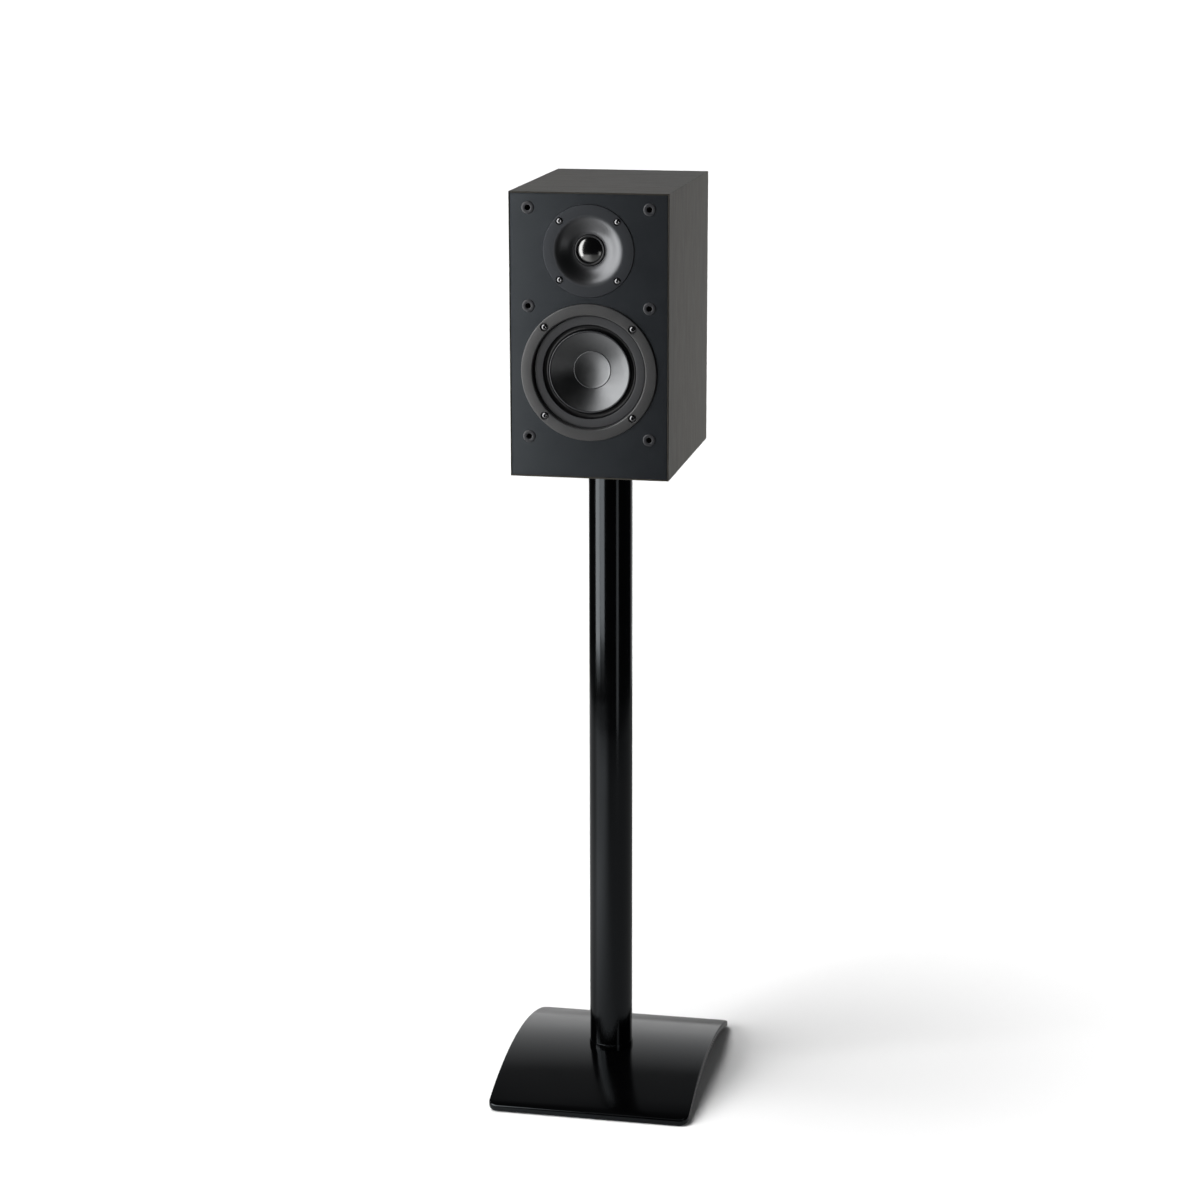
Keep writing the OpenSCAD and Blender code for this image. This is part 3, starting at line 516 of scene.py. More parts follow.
def winding_look(name, pitch, axis):
    """Enamelled copper wire, wound in even turns along an axis."""
    look = Look(name, (0.55, 0.22, 0.09), 0.28, 0.9)
    turns = look.waves(pitch, (0, 0, 0), "BANDS", axis)
    look.tint(turns, (0.25, 0.08, 0.03), (0.62, 0.27, 0.12))
    look.bump(turns, pitch * 0.3)
    return look.material


def cloth_look(name, color, pitch):
    """Woven cloth: two crossed sets of threads."""
    look = Look(name, color, 0.9)
    warp = look.waves(pitch, (0, 0, 0), "BANDS", "X")
    weft = look.waves(pitch, (0, 0, 0), "BANDS", "Z")
    look.tint(warp, [value * 0.7 for value in color], color)
    look.bump(warp, pitch * 0.15)
    look.bump(weft, pitch * 0.15)
    return look.material


def fibre_look(name, color):
    """Loose wadding or felt."""
    look = Look(name, color, 0.95, Sheen_Weight=0.4)
    strands = look.noise(0.003, (1, 3, 1), 5, 0.75)
    look.tint(strands, [value * 0.72 for value in color], color)
    look.bump(strands, 0.0008)
    return look.material


def foam_look():
    """Open-cell foam."""
    look = Look("foam", (0.02, 0.02, 0.02), 0.95)
    pores = look.cells(0.0007)
    look.tint(pores, (0.008, 0.008, 0.008), (0.03, 0.03, 0.03))
    look.bump(pores, 0.0002)
    return look.material


def ferrite_look():
    """Sintered ferrite, dull and slightly pitted."""
    look = Look("ferrite", (0.045, 0.045, 0.048), 0.62, 0.1)
    pits = look.cells(0.0015)
    look.tint(look.noise(0.004), (0.035, 0.035, 0.038), (0.06, 0.06, 0.063))
    look.bump(pits, 0.00004)
    return look.material


def circuit_look():
    """Green lacquered board with a faint glass weave."""
    look = Look("circuit_board", (0.02, 0.075, 0.03), 0.35)
    weave = look.waves(0.0009, (0, 0, 0), "BANDS", "X")
    look.tint(look.noise(0.006, (1, 1, 1), 1), (0.014, 0.06, 0.022), (0.03, 0.1, 0.045))
    look.bump(weave, 0.000015)
    look.bump(look.waves(0.0009, (0, 0, 0), "BANDS", "Y"), 0.000015)
    return look.material


# ---- Mesh building ----

def rounded(outline, steps=4):
    """The outline with each corner that has a third value rounded off over about that distance."""
    points = []
    for i, corner in enumerate(outline):
        here = Vector(corner[:2])
        if len(corner) < 3:
            points.append(here)
            continue
        before = Vector(outline[i - 1][:2])
        after = Vector(outline[(i + 1) % len(outline)][:2])
        start = here + (before - here).normalized() * corner[2]
        end = here + (after - here).normalized() * corner[2]
        for k in range(steps + 1):
            t = k / steps
            points.append(start * (1 - t) ** 2 + here * 2 * t * (1 - t) + end * t * t)
    return points


def to_object(name, shape, sharp=35):
    """A bmesh as a linked object, smooth except across edges sharper than an angle."""
    bmesh.ops.recalc_face_normals(shape, faces=shape.faces)
    data = bpy.data.meshes.new(name)
    shape.to_mesh(data)
    shape.free()
    data.polygons.foreach_set("use_smooth", [True] * len(data.polygons))
    data.set_sharp_from_angle(angle=math.radians(sharp))
    piece = bpy.data.objects.new(name, data)
    bpy.context.collection.objects.link(piece)
    return piece


def turn_into(shape, outline, centre, along=INWARD, turns=144, wobble=None):
    """Turns a closed outline about an axis into a bmesh. wobble(angle, radius) may vary the radius."""
    side = along.orthogonal().normalized()
    across = along.cross(side)
    rings = []
    for radius, depth in outline:
        point = Vector(centre) + along * depth * MM
        if radius < 1e-6:
            rings.append([shape.verts.new(point)] * turns)
            continue
        ring = []
        for k in range(turns):
            angle = 2 * math.pi * k / turns
            reach = (wobble(angle, radius) if wobble else radius) * MM
            ring.append(shape.verts.new(point + (side * math.cos(angle) + across * math.sin(angle)) * reach))
        rings.append(ring)
    for a, b in zip(rings, rings[1:] + rings[:1]):
        for k in range(turns):
            n = (k + 1) % turns
            corners = list(dict.fromkeys([a[k], a[n], b[n], b[k]]))
            if len(corners) > 2:
                shape.faces.new(corners)


def lathe(name, outline, centre, along=INWARD, turns=144, sharp=35, wobble=None):
    """One closed turned piece."""
    shape = bmesh.new()
    turn_into(shape, rounded(outline), centre, along, turns, wobble)
    return to_object(name, shape, sharp)


def cut(piece, cutter, operation="DIFFERENCE", sharp=35):
    """Cuts one piece by another, keeps the result and removes the cutter."""
    modifier = piece.modifiers.new("cut", "BOOLEAN")
    modifier.operation = operation
    modifier.object = cutter
    modifier.solver = "EXACT"
    graph = bpy.context.evaluated_depsgraph_get()
    data = bpy.data.meshes.new_from_object(piece.evaluated_get(graph))
    piece.modifiers.clear()
    piece.data = data
    data.polygons.foreach_set("use_smooth", [True] * len(data.polygons))
    data.set_sharp_from_angle(angle=math.radians(sharp))
    bpy.data.objects.remove(cutter)
    return piece


def sector(shape, centre, inner, outer, near, far, start, end, steps=10):
    """Adds a closed block between two radii, two depths and two angles, in mm and radians."""
    side, across = Vector((1, 0, 0)), Vector((0, 0, 1))
    rows = []
    for k in range(steps + 1):
        angle = start + (end - start) * k / steps
        way = side * math.cos(angle) + across * math.sin(angle)
        rows.append([shape.verts.new(Vector(centre) + way * radius * MM + INWARD * depth * MM)
                     for radius, depth in ((inner, near), (outer, near), (outer, far), (inner, far))])
    for a, b in zip(rows, rows[1:]):
        for k in range(4):
            shape.faces.new((a[k], a[(k + 1) % 4], b[(k + 1) % 4], b[k]))
    shape.faces.new(rows[0])
    shape.faces.new(rows[-1])


def screw_places(centre, circle_r):
    """The middles of four screws on a circle, each at 45 degrees to the middle lines."""
    return [Vector(centre) + Vector((sx, 0, sz)) * circle_r * MM / math.sqrt(2)
            for sx in (-1, 1) for sz in (-1, 1)]


def button_screws(name, places, along, head_r, head_h, shank_r, length, key_r):
    """Socket screws with domed heads. Each place is under the middle of a head."""
    shape = bmesh.new()
    dome = [(head_r * math.cos(math.radians(a)), -head_h * (0.25 + 0.75 * math.sin(math.radians(a))))
            for a in range(0, 66, 8)]
    top = dome[-1][1]
    outline = ([(0, length), (shank_r - 0.5, length), (shank_r, length - 1), (shank_r, 0.05), (head_r - 0.15, 0.05),
                (head_r, -0.1)] + dome + [(key_r + 0.25, top), (key_r, top + 0.2), (key_r, top + 1.3), (0, top + 1.5)])

    def hexagonal(angle, radius):
        """Makes only the key socket six-sided."""
        if radius > key_r + 0.01:
            return radius
        turn = (angle + math.pi / 6) % (math.pi / 3) - math.pi / 6
        return radius * math.cos(math.pi / 6) / math.cos(turn)

    for place in places:
        turn_into(shape, [Vector(p) for p in outline], place, along, 48, hexagonal)
    return to_object(name, shape)


def sweep(shape, path, radius, sides=10):
    """Adds a closed round tube of a radius along a list of points."""
    rings = []
    for i, point in enumerate(path):
        way = (path[min(i + 1, len(path) - 1)] - path[max(i - 1, 0)]).normalized()
        side = way.cross(Vector((1, 0.12, 0.07))).normalized()
        across = way.cross(side)
        rings.append([shape.verts.new(point + (side * math.cos(2 * math.pi * k / sides)
                                               + across * math.sin(2 * math.pi * k / sides)) * radius)
                      for k in range(sides)])
    for a, b in zip(rings, rings[1:]):
        for k in range(sides):
            n = (k + 1) % sides
            shape.faces.new((a[k], a[n], b[n], b[k]))
    shape.faces.new(rings[0])
    shape.faces.new(rings[-1])


# ---- Placing ----

def stand_for(piece, look, *nodes):
    """Puts a finished piece with its material in the place of CAD nodes, on the same body."""
    piece.data.materials.clear()
    piece.data.materials.append(look)
    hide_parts(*nodes)
    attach(piece, BODY_OF[nodes[0]])
    return piece


def flex_for(piece, look, node, centre):
    """Puts a soft ring with its material in the place of a CAD node, which it hides.
    """
    piece.data.materials.clear()
    piece.data.materials.append(look)
    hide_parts(node)
    rest = [vertex.co.copy() for vertex in piece.data.vertices]
    for vertex in piece.data.vertices:
        offset = vertex.co - Vector(centre)
        vertex.co = (math.hypot(offset.x, offset.z), 0, 0)
    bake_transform(piece)
    for vertex, place in zip(piece.data.vertices, rest):
        vertex.co = place
    return piece


def dress(node, look, edge=0.0):
    """Gives a CAD node a finished material and, where asked, softened edges."""
    piece = NODES[node]
    for held in piece.material_slots:
        held.material = look
    if edge:
        weld = piece.modifiers.new("weld", "WELD")
        weld.merge_threshold = 0.00001
        bevel = piece.modifiers.new("bevel", "BEVEL")
        bevel.width = edge
        bevel.segments = 3
        bevel.limit_method = "ANGLE"
        bevel.angle_limit = math.radians(40)
        bevel.harden_normals = True
    return piece


def middle_of(node):
    low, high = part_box(node)
    return (low + high) / 2


# ---- Woofer ----

BAFFLE_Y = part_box("front_baffle")[0].y
WOOFER = Vector((0, BAFFLE_Y, middle_of("woofer_yoke").z))
TWEETER = Vector((0, BAFFLE_Y, middle_of("tweeter_yoke").z))
CONE_R = (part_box("woofer_cone")[1].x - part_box("woofer_cone")[0].x) / 2 / MM
CAP_R = (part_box("woofer_dust_cap")[1].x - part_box("woofer_dust_cap")[0].x) / 2 / MM
CONE_RIM = (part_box("woofer_cone")[0].y - BAFFLE_Y) / MM
CONE_BAND_R = 35
CONE_DROP = 14
NECK_R = 12.8
LAND = 3.8
WOOFER_SCREW_CIRCLE = 64.4
TWEETER_SCREW_CIRCLE = 42


def cone_depth(radius):
    """Depth of the front of the cone at a radius, behind the baffle's face."""
    return CONE_RIM + CONE_DROP * ((CONE_R - radius) / (CONE_R - CAP_R)) ** 1.1


def make_woofer_frame():
    """The flange, its inner step and the open basket behind it."""
    flange_r = (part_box("woofer_frame")[1].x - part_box("woofer_frame")[0].x) / 2 / MM
    front = (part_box("woofer_frame")[0].y - BAFFLE_Y) / MM
    back = (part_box("woofer_frame")[1].y - BAFFLE_Y) / MM
    piece = lathe("woofer_basket", [
        (59.5, front, 0.25), (flange_r - 0.8, front, 0.3), (flange_r, front + 0.8, 0.3),
        (flange_r, front + 5, 0.2), (60.5, front + 5, 0.8), (57.5, 8, 1.2), (40.2, back - 3, 0.8),
        (40, back, 0.3), (17, back, 0.3), (17, back - 3, 0.3), (37, back - 3, 1), (55, LAND + 4, 1),
        (49.5, LAND + 2, 0.5), (49.5, LAND, 0.3),
        (58.5, LAND), (58.5, front + 1, 0.2)], WOOFER, turns=192)
    windows = bmesh.new()
    for i in range(6):
        start = math.radians(60 * i + 11)
        sector(windows, WOOFER, 30, 70, 13, 40, -start - math.radians(38), -start)
    cut(piece, to_object("windows", windows))
    shelf = lathe("shelf", [(44, 28.5, 0.3), (44, 30.5, 0.3), (34, 30.5, 0.3), (34, 28.5, 0.3)], WOOFER)
    cut(piece, shelf, "UNION")
    wells = bmesh.new()
    for place in screw_places(WOOFER, WOOFER_SCREW_CIRCLE):
        turn_into(wells, [Vector(p) for p in (
            (0, front - 1), (5.2, front - 1), (4.6, front), (4.3, front + 0.3), (4.3, front + 2),
            (2.1, front + 2), (2.1, 6), (0, 6))], place, INWARD, 64)
    cut(piece, to_object("wells", wells), sharp=30)
    return piece


def make_surround():
    """The rubber surround: a flat land, a roll that dips inwards and a lip glued behind the cone's rim."""
    middle, front, back = 45.4, LAND - 0.8, CONE_RIM + 1.05
    sunk = front + 1.8
    rim = CONE_R + 0.05
    roll = [(middle + 3.1 * math.cos(a), sunk + 3.1 * math.sin(a))
            for a in (math.pi * k / 24 for k in range(25))]
    bead = [(41.35 + 0.95 * math.cos(a), front + 0.85 - 0.95 * math.sin(a))
            for a in (math.pi * k / 12 for k in range(1, 12))]
    under = [(middle - 3.8 * math.cos(a), sunk + 3.8 * math.sin(a))
             for a in (math.radians(43 + 131 * k / 18) for k in range(19))]
    return lathe("woofer_surround_roll", [
        (58.3, LAND), (57.6, front + 0.4), (57.0, front, 0.3), (48.5, front, 0.7)] + roll + [
        (42.3, front + 0.9)] + bead + [(rim, front + 0.7, 0.1), (rim, back),
        (CONE_BAND_R, cone_depth(CONE_BAND_R) + 1.05), (CONE_BAND_R, cone_depth(CONE_BAND_R) + 1.75)]
        + under + [(49.2, sunk), (49.2, LAND)], WOOFER, turns=192)


def make_cone():
    """The cone, a thin shell that runs down to the coil former."""
    steps = 24
    front = [(CONE_R, CONE_RIM)] + [
        (radius, cone_depth(radius))
        for radius in (CONE_BAND_R + (NECK_R - CONE_BAND_R) * k / steps for k in range(steps + 1))]
    return lathe("woofer_cone_shell", front + [(r, d + 1) for r, d in reversed(front)], WOOFER, turns=192)


def dish(edge_r, edge, hollow, steps=14):
    """Points from the middle to the edge of a dished disc, which bulges forward if hollow is negative."""
    big = (edge_r ** 2 + hollow ** 2) / (2 * abs(hollow))
    side = 1 if hollow > 0 else -1
    return [(edge_r * k / steps, edge + side * (abs(hollow) - big + math.sqrt(big ** 2 - (edge_r * k / steps) ** 2)))
            for k in range(steps + 1)]


def make_dust_cap():
    """The hollowed cap over the coil, with the thin bead of glue round its edge."""
    edge = cone_depth(CAP_R) - 0.6
    front = dish(CAP_R, edge, 3.2)
    outline = front[:-1] + [(CAP_R - 0.4, edge - 0.1), (CAP_R, edge - 0.15, 0.2), (CAP_R + 0.5, edge + 0.25)]
    back = [(r, d + 0.6) for r, d in reversed(front)]
    return lathe("woofer_cap", outline + back, WOOFER, turns=160)


def make_spider():
    """The corrugated cloth spring that centres the coil."""
    rest, thick = 28.0, 0.5
    front = [(12.8, rest), (14.2, rest)] + [
        (15 + 19 * k / 64, rest + 0.9 * math.sin(2 * math.pi * k / 16)) for k in range(65)] + [(38, rest)]
    return lathe("woofer_spider_cloth", front + [(r, d + thick) for r, d in reversed(front)], WOOFER, turns=120)


def curve_points(start, leave, end, arrive, steps=28):
    """Points on a curve from start to end, with its handles given as offsets."""
    points = []
    for k in range(steps + 1):
        t = k / steps
        points.append(start * (1 - t) ** 3 + (start + leave) * 3 * t * (1 - t) ** 2
                      + (end + arrive) * 3 * t * t * (1 - t) + end * t ** 3)
    return points


def make_tinsel_leads():
    """Two slack braided leads from the terminal strip to the back of the cone."""
    low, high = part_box("woofer_tinsel_leads")
    shape = bmesh.new()
    for side in (-1, 1):
        x = side * (high.x - low.x - 2 * 0.5 * MM) / 2
        start = Vector((x, BAFFLE_Y + 0.0273, WOOFER.z - 0.047))
        end = Vector((x, BAFFLE_Y + (cone_depth(26) + 2.4) * MM, WOOFER.z - 0.024))
        path = curve_points(start, Vector((0, 0, 0.009)), end, Vector((0, 0.007, -0.004)))
        sweep(shape, path, 0.5 * MM)
    return to_object("woofer_braided_leads", shape)


def make_woofer():
    metal = cone_look(WOOFER)
    stand_for(make_woofer_frame(), driver_frame, "woofer_frame")
    flex_for(make_surround(), surround_look(WOOFER), "woofer_surround",
             WOOFER)
    stand_for(make_cone(), metal, "woofer_cone")
    stand_for(make_dust_cap(), metal, "woofer_dust_cap")
    flex_for(make_spider(), cloth_look("spider_cloth", (0.45, 0.3, 0.12), 0.0006), "woofer_spider",
             WOOFER)
    leads = make_tinsel_leads()
    leads.data.materials.append(metal_look("tinsel", (0.75, 0.42, 0.25), 0.35, (1, 6, 6)))
    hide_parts("woofer_tinsel_leads")
    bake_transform(leads)
    screws = button_screws("woofer_socket_screws", [place + FORWARD * 0.2 * MM
                           for place in screw_places(WOOFER, WOOFER_SCREW_CIRCLE)],
                           INWARD, 3.4, 2.1, 1.9, 15, 1.5)
    stand_for(screws, black_screw, "woofer_screws")


# ---- Tweeter ----

WAVEGUIDE_R = 36
THROAT_R = 16.3
WAVEGUIDE_DEPTH = 7.6
DOME_EDGE = 7.4
MOTOR = 9


def make_faceplate():
    """The faceplate and its waveguide, which blends out of the flat rim and into the throat."""
    rim_r = (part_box("tweeter_rear_chamber")[1].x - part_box("tweeter_rear_chamber")[0].x) / 2 / MM + 17
    front = (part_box("tweeter_faceplate")[0].y - BAFFLE_Y) / MM
    steps = 48
    bowl = [(THROAT_R + (WAVEGUIDE_R - THROAT_R) * k / steps,
             front + WAVEGUIDE_DEPTH * (1 + math.cos(math.pi * k / steps)) / 2) for k in range(1, steps + 1)]
    piece = lathe("tweeter_waveguide", [(THROAT_R, MOTOR), (THROAT_R, front + WAVEGUIDE_DEPTH, 0.25)] + bowl + [
        (rim_r - 0.4, front, 0.3), (rim_r, front + 0.4, 0.25), (rim_r, 3.4, 0.2), (38, 3.4, 0.5), (34, MOTOR, 0.5)],
        TWEETER, turns=192)
    wells = bmesh.new()
    for place in screw_places(TWEETER, TWEETER_SCREW_CIRCLE):
        turn_into(wells, [Vector(p) for p in (
            (0, front - 1), (4.5, front - 1), (4.0, front), (3.8, front + 0.25), (3.8, front + 1.6),
            (1.8, front + 1.6), (1.8, 9.5), (0, 9.5))], place, INWARD, 64)
    return cut(piece, to_object("wells", wells), sharp=30)


def make_tweeter():
    dome_r = (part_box("tweeter_dome")[1].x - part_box("tweeter_dome")[0].x) / 2 / MM
    stand_for(make_faceplate(), faceplate_look(TWEETER, WAVEGUIDE_R * MM), "tweeter_faceplate")
    front = dish(dome_r, DOME_EDGE, -4.2, 20)
    inside = dish(dome_r - 0.35, DOME_EDGE, -3.85, 20)
    shell = lathe("tweeter_dome_shell", front + [(dome_r, DOME_EDGE + 1.2), (dome_r - 0.35, DOME_EDGE + 1.2)]
                  + inside[::-1], TWEETER, turns=128)
    stand_for(shell, dome_look(TWEETER), "tweeter_dome")
    light_only(bpy.data.objects["key_edge"], shell, "EXCLUDE")
    middle, base = (dome_r + THROAT_R) / 2, DOME_EDGE + 0.4
    over = [(middle - 1.65 * math.cos(a), base - 1.65 * math.sin(a)) for a in (math.pi * k / 16 for k in range(17))]
    under = [(middle + 1.15 * math.cos(a), base - 1.15 * math.sin(a)) for a in (math.pi * k / 16 for k in range(17))]
    roll = lathe("tweeter_surround_roll", [(dome_r + 0.1, base + 0.3)] + over + [
        (THROAT_R - 0.15, MOTOR), (THROAT_R - 0.7, MOTOR)] + under + [(dome_r + 0.65, base + 0.3)],
        TWEETER, turns=128)
    flex_for(roll, rubber_look("tweeter_roll", (0.006, 0.006, 0.007), 0.38), "tweeter_surround",
             TWEETER)
    screws = button_screws("tweeter_socket_screws", [place + INWARD * 0.7 * MM
                           for place in screw_places(TWEETER, TWEETER_SCREW_CIRCLE)],
                           INWARD, 3.2, 1.7, 1.5, 12, 1.3)
    stand_for(screws, black_screw, "tweeter_screws")


# ---- Cabinet ----

def make_grille_sockets():
    """Six moulded sockets with a raised round rim."""
    low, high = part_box("grille_sockets")
    flange = 6.6
    x = (high.x - low.x) / 2 - flange * MM
    rows = (low.z + flange * MM, high.z - flange * MM, NODES_MIDDLE_ROW)
    shape = bmesh.new()
    outline = rounded([(2.8, 10), (2.8, -0.9, 0.7), (flange, -0.9, 1.3), (flange, 0), (4, 0), (4, 12), (0, 12), (0, 10)])
    for side in (-1, 1):
        for row in rows:
            turn_into(shape, outline, Vector((side * x, BAFFLE_Y, row)), INWARD, 64)
    return to_object("grille_socket_rims", shape)


NODES_MIDDLE_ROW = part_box("bottom_panel")[0].z + 0.1765


def make_cabinet():
    wrap = wrap_look()
    for node in ("top_panel", "bottom_panel", "left_side_panel", "right_side_panel"):
        dress(node, wrap, 0.0008)
    dress("rear_panel", wrap, 0.0003)
    dress("front_baffle", baffle_look(), 0.0003)
    dress("window_brace", board_look("fibreboard", (0.34, 0.21, 0.11), (0.24, 0.14, 0.07)), 0.0005)
    dress("damping_lining", fibre_look("wadding", (0.6, 0.6, 0.56)))
    dress("threaded_inserts", metal_look("brass_insert", (0.72, 0.5, 0.22), 0.32))
    stand_for(make_grille_sockets(), plastic_look("socket_plastic", (0.04, 0.041, 0.045), 0.3), "grille_sockets")


# ---- Rear fittings ----

def make_port():
    """The reflex port: a flared mouth on a plain tube."""
    low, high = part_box("port_tube")
    centre = Vector((0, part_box("rear_panel")[1].y, (low.z + high.z) / 2))
    bore, flare, mouth = 20, 10, -2.5
    rim = (high.x - low.x) / 2 / MM
    length = (centre.y - low.y) / MM
    mouth_arc = [(bore + flare - flare * math.cos(a), mouth + flare - flare * math.sin(a))
                 for a in (math.pi / 2 * k / 24 for k in range(25))]
    return lathe("reflex_port", [(bore, length, 0.6)] + mouth_arc + [
        (rim - 1, mouth, 0.6), (rim, mouth + 1, 0.6), (rim, 0), (rim - 4.6, 0), (rim - 4.6, 15),
        (bore + 2.5, 21, 1), (bore + 2.5, length, 0.6)], centre, FORWARD, 160)


def make_knob(name, node):
    """A fluted knob, open at both ends, that runs on its post."""
    low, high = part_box(node)
    outer, inner = high.y, low.y
    length = (outer - inner) / MM
    radius = (high.x - low.x) / 2 / MM + 0.05

    def fluted(angle, reach):
        """Sinks sixteen flutes into the grip."""
        if reach < radius - 0.3:
            return reach
        return reach - 0.42 * (0.5 + 0.5 * math.cos(16 * angle)) ** 3

    return lathe(name, [(3.55, 0, 0.2), (radius - 1, 0, 0.3), (radius - 1, 1.2, 0.2), (radius, 1.6, 0.3),
                        (radius, length - 3.2, 0.3), (radius - 1, length - 2.8, 0.2), (radius - 1, length, 0.3),
                        (3.55, length, 0.2)],
                 Vector(((low.x + high.x) / 2, outer, (low.z + high.z) / 2)), FORWARD, 192, wobble=fluted)


def make_rear_fittings():
    gold = metal_look("gold_plate", (0.85, 0.6, 0.25), 0.2)
    black = plastic_look("black_plastic", (0.012, 0.012, 0.013), 0.42)
    stand_for(make_port(), black, "port_tube")
    dress("terminal_cup", black, 0.0003)
    screws = [Vector((sx * 0.0355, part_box("terminal_cup")[1].y, middle_of("terminal_cup").z + sz * 0.0315))
              for sx in (-1, 1) for sz in (-1, 1)]
    stand_for(button_screws("cup_screws", screws, FORWARD, 2.9, 1.8, 1.5, 14, 1.1),
              black_screw, "terminal_cup_screws")
    for side in ("positive", "negative"):
        dress(side + "_post", gold, 0.0001)
        dress(side + "_clamp_washer", gold, 0.0001)
    stand_for(make_knob("positive_grip", "positive_knob"), plastic_look("red_grip", (0.34, 0.012, 0.012), 0.3, 0.000004),
              "positive_knob")
    stand_for(make_knob("negative_grip", "negative_knob"), black, "negative_knob")
    dress("terminal_nuts", gold, 0.0001)
    dress("solder_tags", metal_look("tinned", (0.7, 0.7, 0.7), 0.34), 0.0001)


# ---- Crossover and motors ----

def make_inside():
    steel = metal_look("zinc_steel", (0.56, 0.56, 0.57), 0.33, (6, 1, 1))
    ferrite = ferrite_look()
    paper = board_look("former_paper", (0.3, 0.17, 0.07), (0.22, 0.12, 0.05))
    dress("crossover_board", circuit_look(), 0.0001)
    dress("crossover_standoffs", steel, 0.0001)
    dress("crossover_screws", black_screw)
    dress("inductor_bobbins", plastic_look("ivory_plastic", (0.6, 0.56, 0.42), 0.5), 0.0002)
    dress("inductor_windings", winding_look("inductor_wire", 0.0009, "Z"))
    dress("crossover_capacitors", plastic_look("capacitor_film", (0.62, 0.38, 0.05), 0.25, 0.000004), 0.0006)
    dress("crossover_resistors", board_look("ceramic", (0.72, 0.7, 0.64), (0.64, 0.62, 0.56)), 0.0004)
    dress("internal_wiring", plastic_look("wire_cover", (0.35, 0.02, 0.02), 0.4, 0.000004))
    dress("woofer_gasket", foam_look())
    dress("woofer_coil_former", paper)
    dress("woofer_voice_coil", winding_look("coil_wire", 0.0003, "Y"))
    dress("woofer_terminal_strip", paper, 0.0002)
    dress("tweeter_voice_coil", winding_look("fine_wire", 0.00015, "Y"))
    for node in ("woofer_top_plate", "woofer_yoke", "tweeter_top_plate", "tweeter_yoke"):
        dress(node, steel, 0.0004)
    for node in ("woofer_magnet", "tweeter_magnet"):
        dress(node, ferrite, 0.0006)
    dress("tweeter_rear_chamber", plastic_look("chamber_plastic", (0.014, 0.014, 0.015), 0.5), 0.0005)


# ---- Stand ----

BASE_LOW, BASE_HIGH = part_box("base_plate")
BASE_T = 0.0066
BASE_RISE = BASE_HIGH.z - BASE_LOW.z - BASE_T
ARCH_R = ((BASE_HIGH.y - BASE_LOW.y) ** 2 / 4 + BASE_RISE ** 2) / (2 * BASE_RISE)
ARCH_Z = BASE_LOW.z + BASE_RISE - ARCH_R
COLUMN = middle_of("column")
COLUMN_R = (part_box("column")[1].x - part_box("column")[0].x) / 2 / MM


def arch_height(y, extra):
    """Height of the base plate's underside at y, or of its top where extra is the thickness."""
    return ARCH_Z + math.sqrt((ARCH_R + extra) ** 2 - y * y)


def make_base_plate():
    """A flat slab with rounded corners and edges, divided into strips and then arched."""
    half_x, half_y, corner = BASE_HIGH.x, BASE_HIGH.y, 0.010
    shape = bmesh.new()
    plan = []
    for sx, sy, start in ((1, 1, 0), (-1, 1, 90), (-1, -1, 180), (1, -1, 270)):
        for k in range(9):
            angle = math.radians(start + 90 * k / 8)
            plan.append((sx * (half_x - corner) + corner * math.cos(angle),
                         sy * (half_y - corner) + corner * math.sin(angle)))
    lower = shape.faces.new([shape.verts.new((x, y, 0)) for x, y in plan])
    raised = bmesh.ops.extrude_face_region(shape, geom=[lower])
    bmesh.ops.translate(shape, vec=(0, 0, BASE_T),
                        verts=[v for v in raised["geom"] if isinstance(v, bmesh.types.BMVert)])
    rims = [edge for edge in shape.edges if abs(edge.verts[0].co.z - edge.verts[1].co.z) < 1e-6]
    bmesh.ops.bevel(shape, geom=rims, offset=0.0016, segments=5, profile=0.5, affect="EDGES")
    strips = 90
    for k in range(1, strips):
        y = -half_y + 2 * half_y * k / strips
        bmesh.ops.bisect_plane(shape, geom=shape.verts[:] + shape.edges[:] + shape.faces[:],
                               plane_co=(0, y, 0), plane_no=(0, 1, 0))
    for vertex in shape.verts:
        share = vertex.co.z / BASE_T
        y = vertex.co.y
        vertex.co.z = (1 - share) * arch_height(y, 0) + share * arch_height(y, BASE_T)
    piece = to_object("arched_base", shape, 50)
    hole = lathe("hole", [(0, 0), (4.3, 0), (4.3, 60), (0, 60)], Vector((0, COLUMN.y, 0)), UP, 64)
    return cut(piece, hole, sharp=50)


def rest_on_arch(piece):
    """Brings a piece's lowest ring down onto the top of the base plate."""
    for vertex in piece.data.vertices:
        if vertex.co.z < BASE_HIGH.z + 0.0006:
            vertex.co.z = arch_height(vertex.co.y, BASE_T)
    return piece


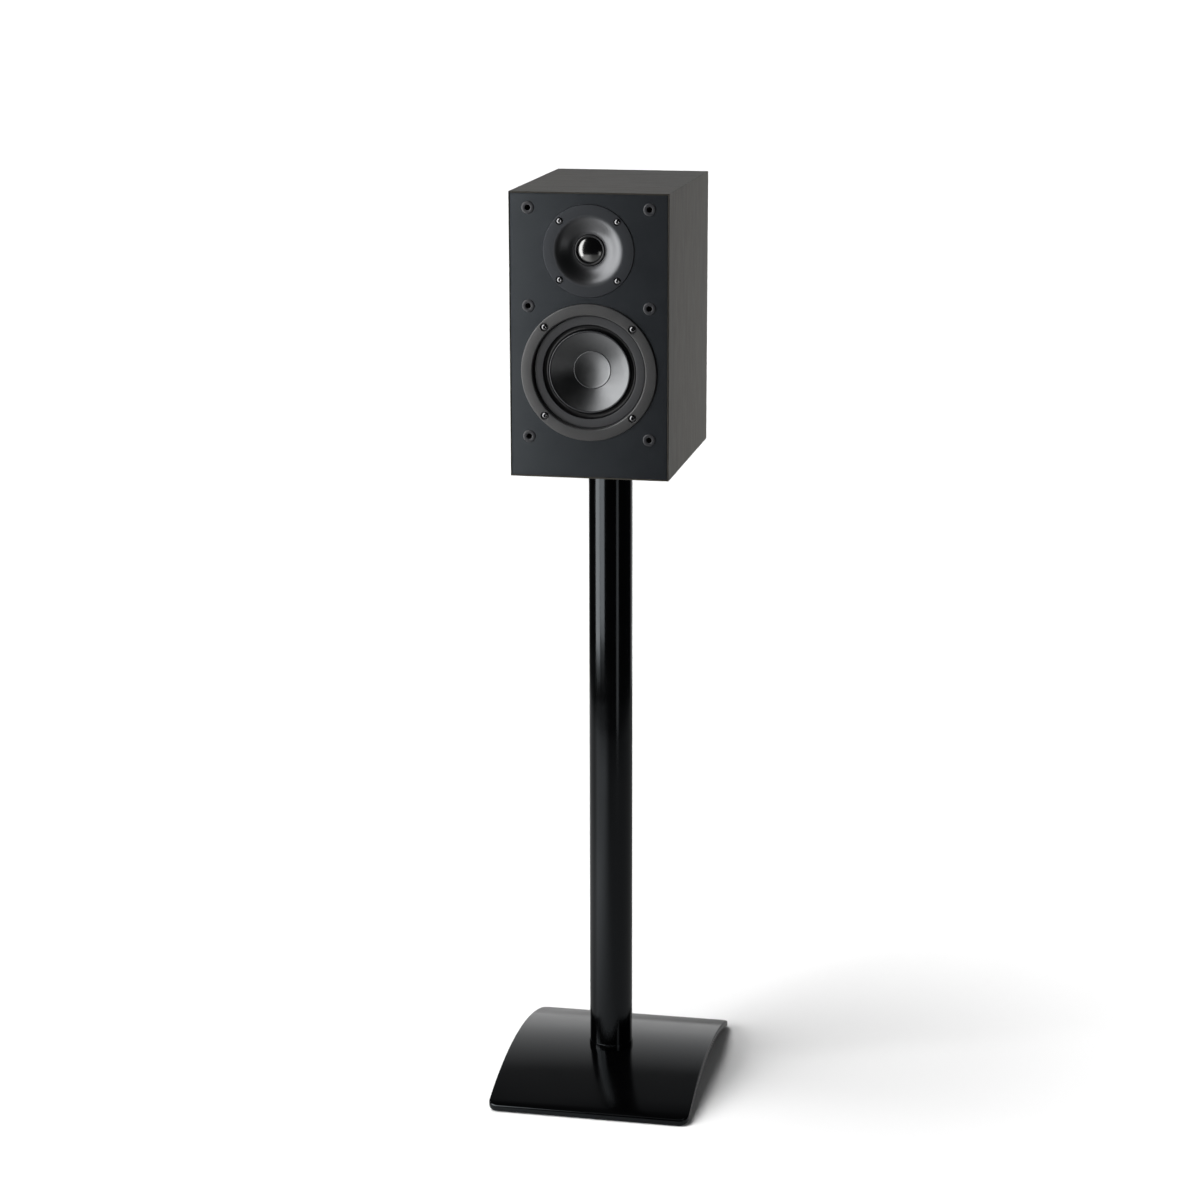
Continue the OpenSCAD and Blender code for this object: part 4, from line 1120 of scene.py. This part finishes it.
def make_column():
    """The welded tube with a solid plug at each end."""
    low, high = BASE_HIGH.z / MM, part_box("column")[1].z / MM
    plug, wall, hole = 22, 2, 4
    ends = [(COLUMN_R, low), (COLUMN_R, low + 12), (COLUMN_R, high, 0.4), (hole, high), (hole, high - plug),
            (COLUMN_R - wall, high - plug), (COLUMN_R - wall, low + plug), (hole, low + plug), (hole, low)]
    return rest_on_arch(lathe("stand_tube", ends, Vector((0, COLUMN.y, 0)), UP, 160))


def make_collar():
    """The thin ring round the foot of the column."""
    low, high = BASE_HIGH.z / MM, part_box("column_collar")[1].z / MM
    outer = (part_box("column_collar")[1].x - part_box("column_collar")[0].x) / 2 / MM
    return rest_on_arch(lathe("foot_ring", [(outer, low), (outer, low + 1), (outer, high, 0.5), (COLUMN_R, high, 0.1),
                                            (COLUMN_R, low)], Vector((0, COLUMN.y, 0)), UP, 160))


def make_pads():
    """Four rubber discs between the cabinet and the stand."""
    low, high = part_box("isolation_pads")
    radius = 10
    shape = bmesh.new()
    outline = rounded([(0, 0), (radius, 0, 0.6), (radius, (high.z - low.z) / MM, 0.6), (0, (high.z - low.z) / MM)])
    for x in (low.x + radius * MM, high.x - radius * MM):
        for y in (low.y + radius * MM, high.y - radius * MM):
            turn_into(shape, outline, Vector((x, y, low.z)), UP, 64)
    return to_object("stand_pads", shape)


def make_stand():
    gloss = gloss_black_look()
    rubber = rubber_look("foot_rubber", (0.012, 0.012, 0.012), 0.7)
    stand_for(make_base_plate(), gloss, "base_plate")
    stand_for(make_column(), gloss, "column")
    stand_for(make_collar(), gloss, "column_collar")
    stand_for(make_pads(), rubber, "isolation_pads")
    dress("stand_top_plate", gloss, 0.0004)
    dress("base_feet", rubber)
    bolts = metal_look("bolt_steel", (0.5, 0.5, 0.51), 0.3)
    dress("speaker_bolts", bolts, 0.0003)
    dress("column_bolts", bolts, 0.0003)


make_camera()
make_lights(*make_stage())
make_world()
bpy.context.scene.view_settings.view_transform = "Standard"
driver_frame = frame_look("driver_frame", (0.036, 0.0362, 0.0365), 0.36, 0.0, 1.0)
black_screw = screw_look()
make_cabinet()
make_woofer()
make_tweeter()
make_rear_fittings()
make_inside()
make_stand()
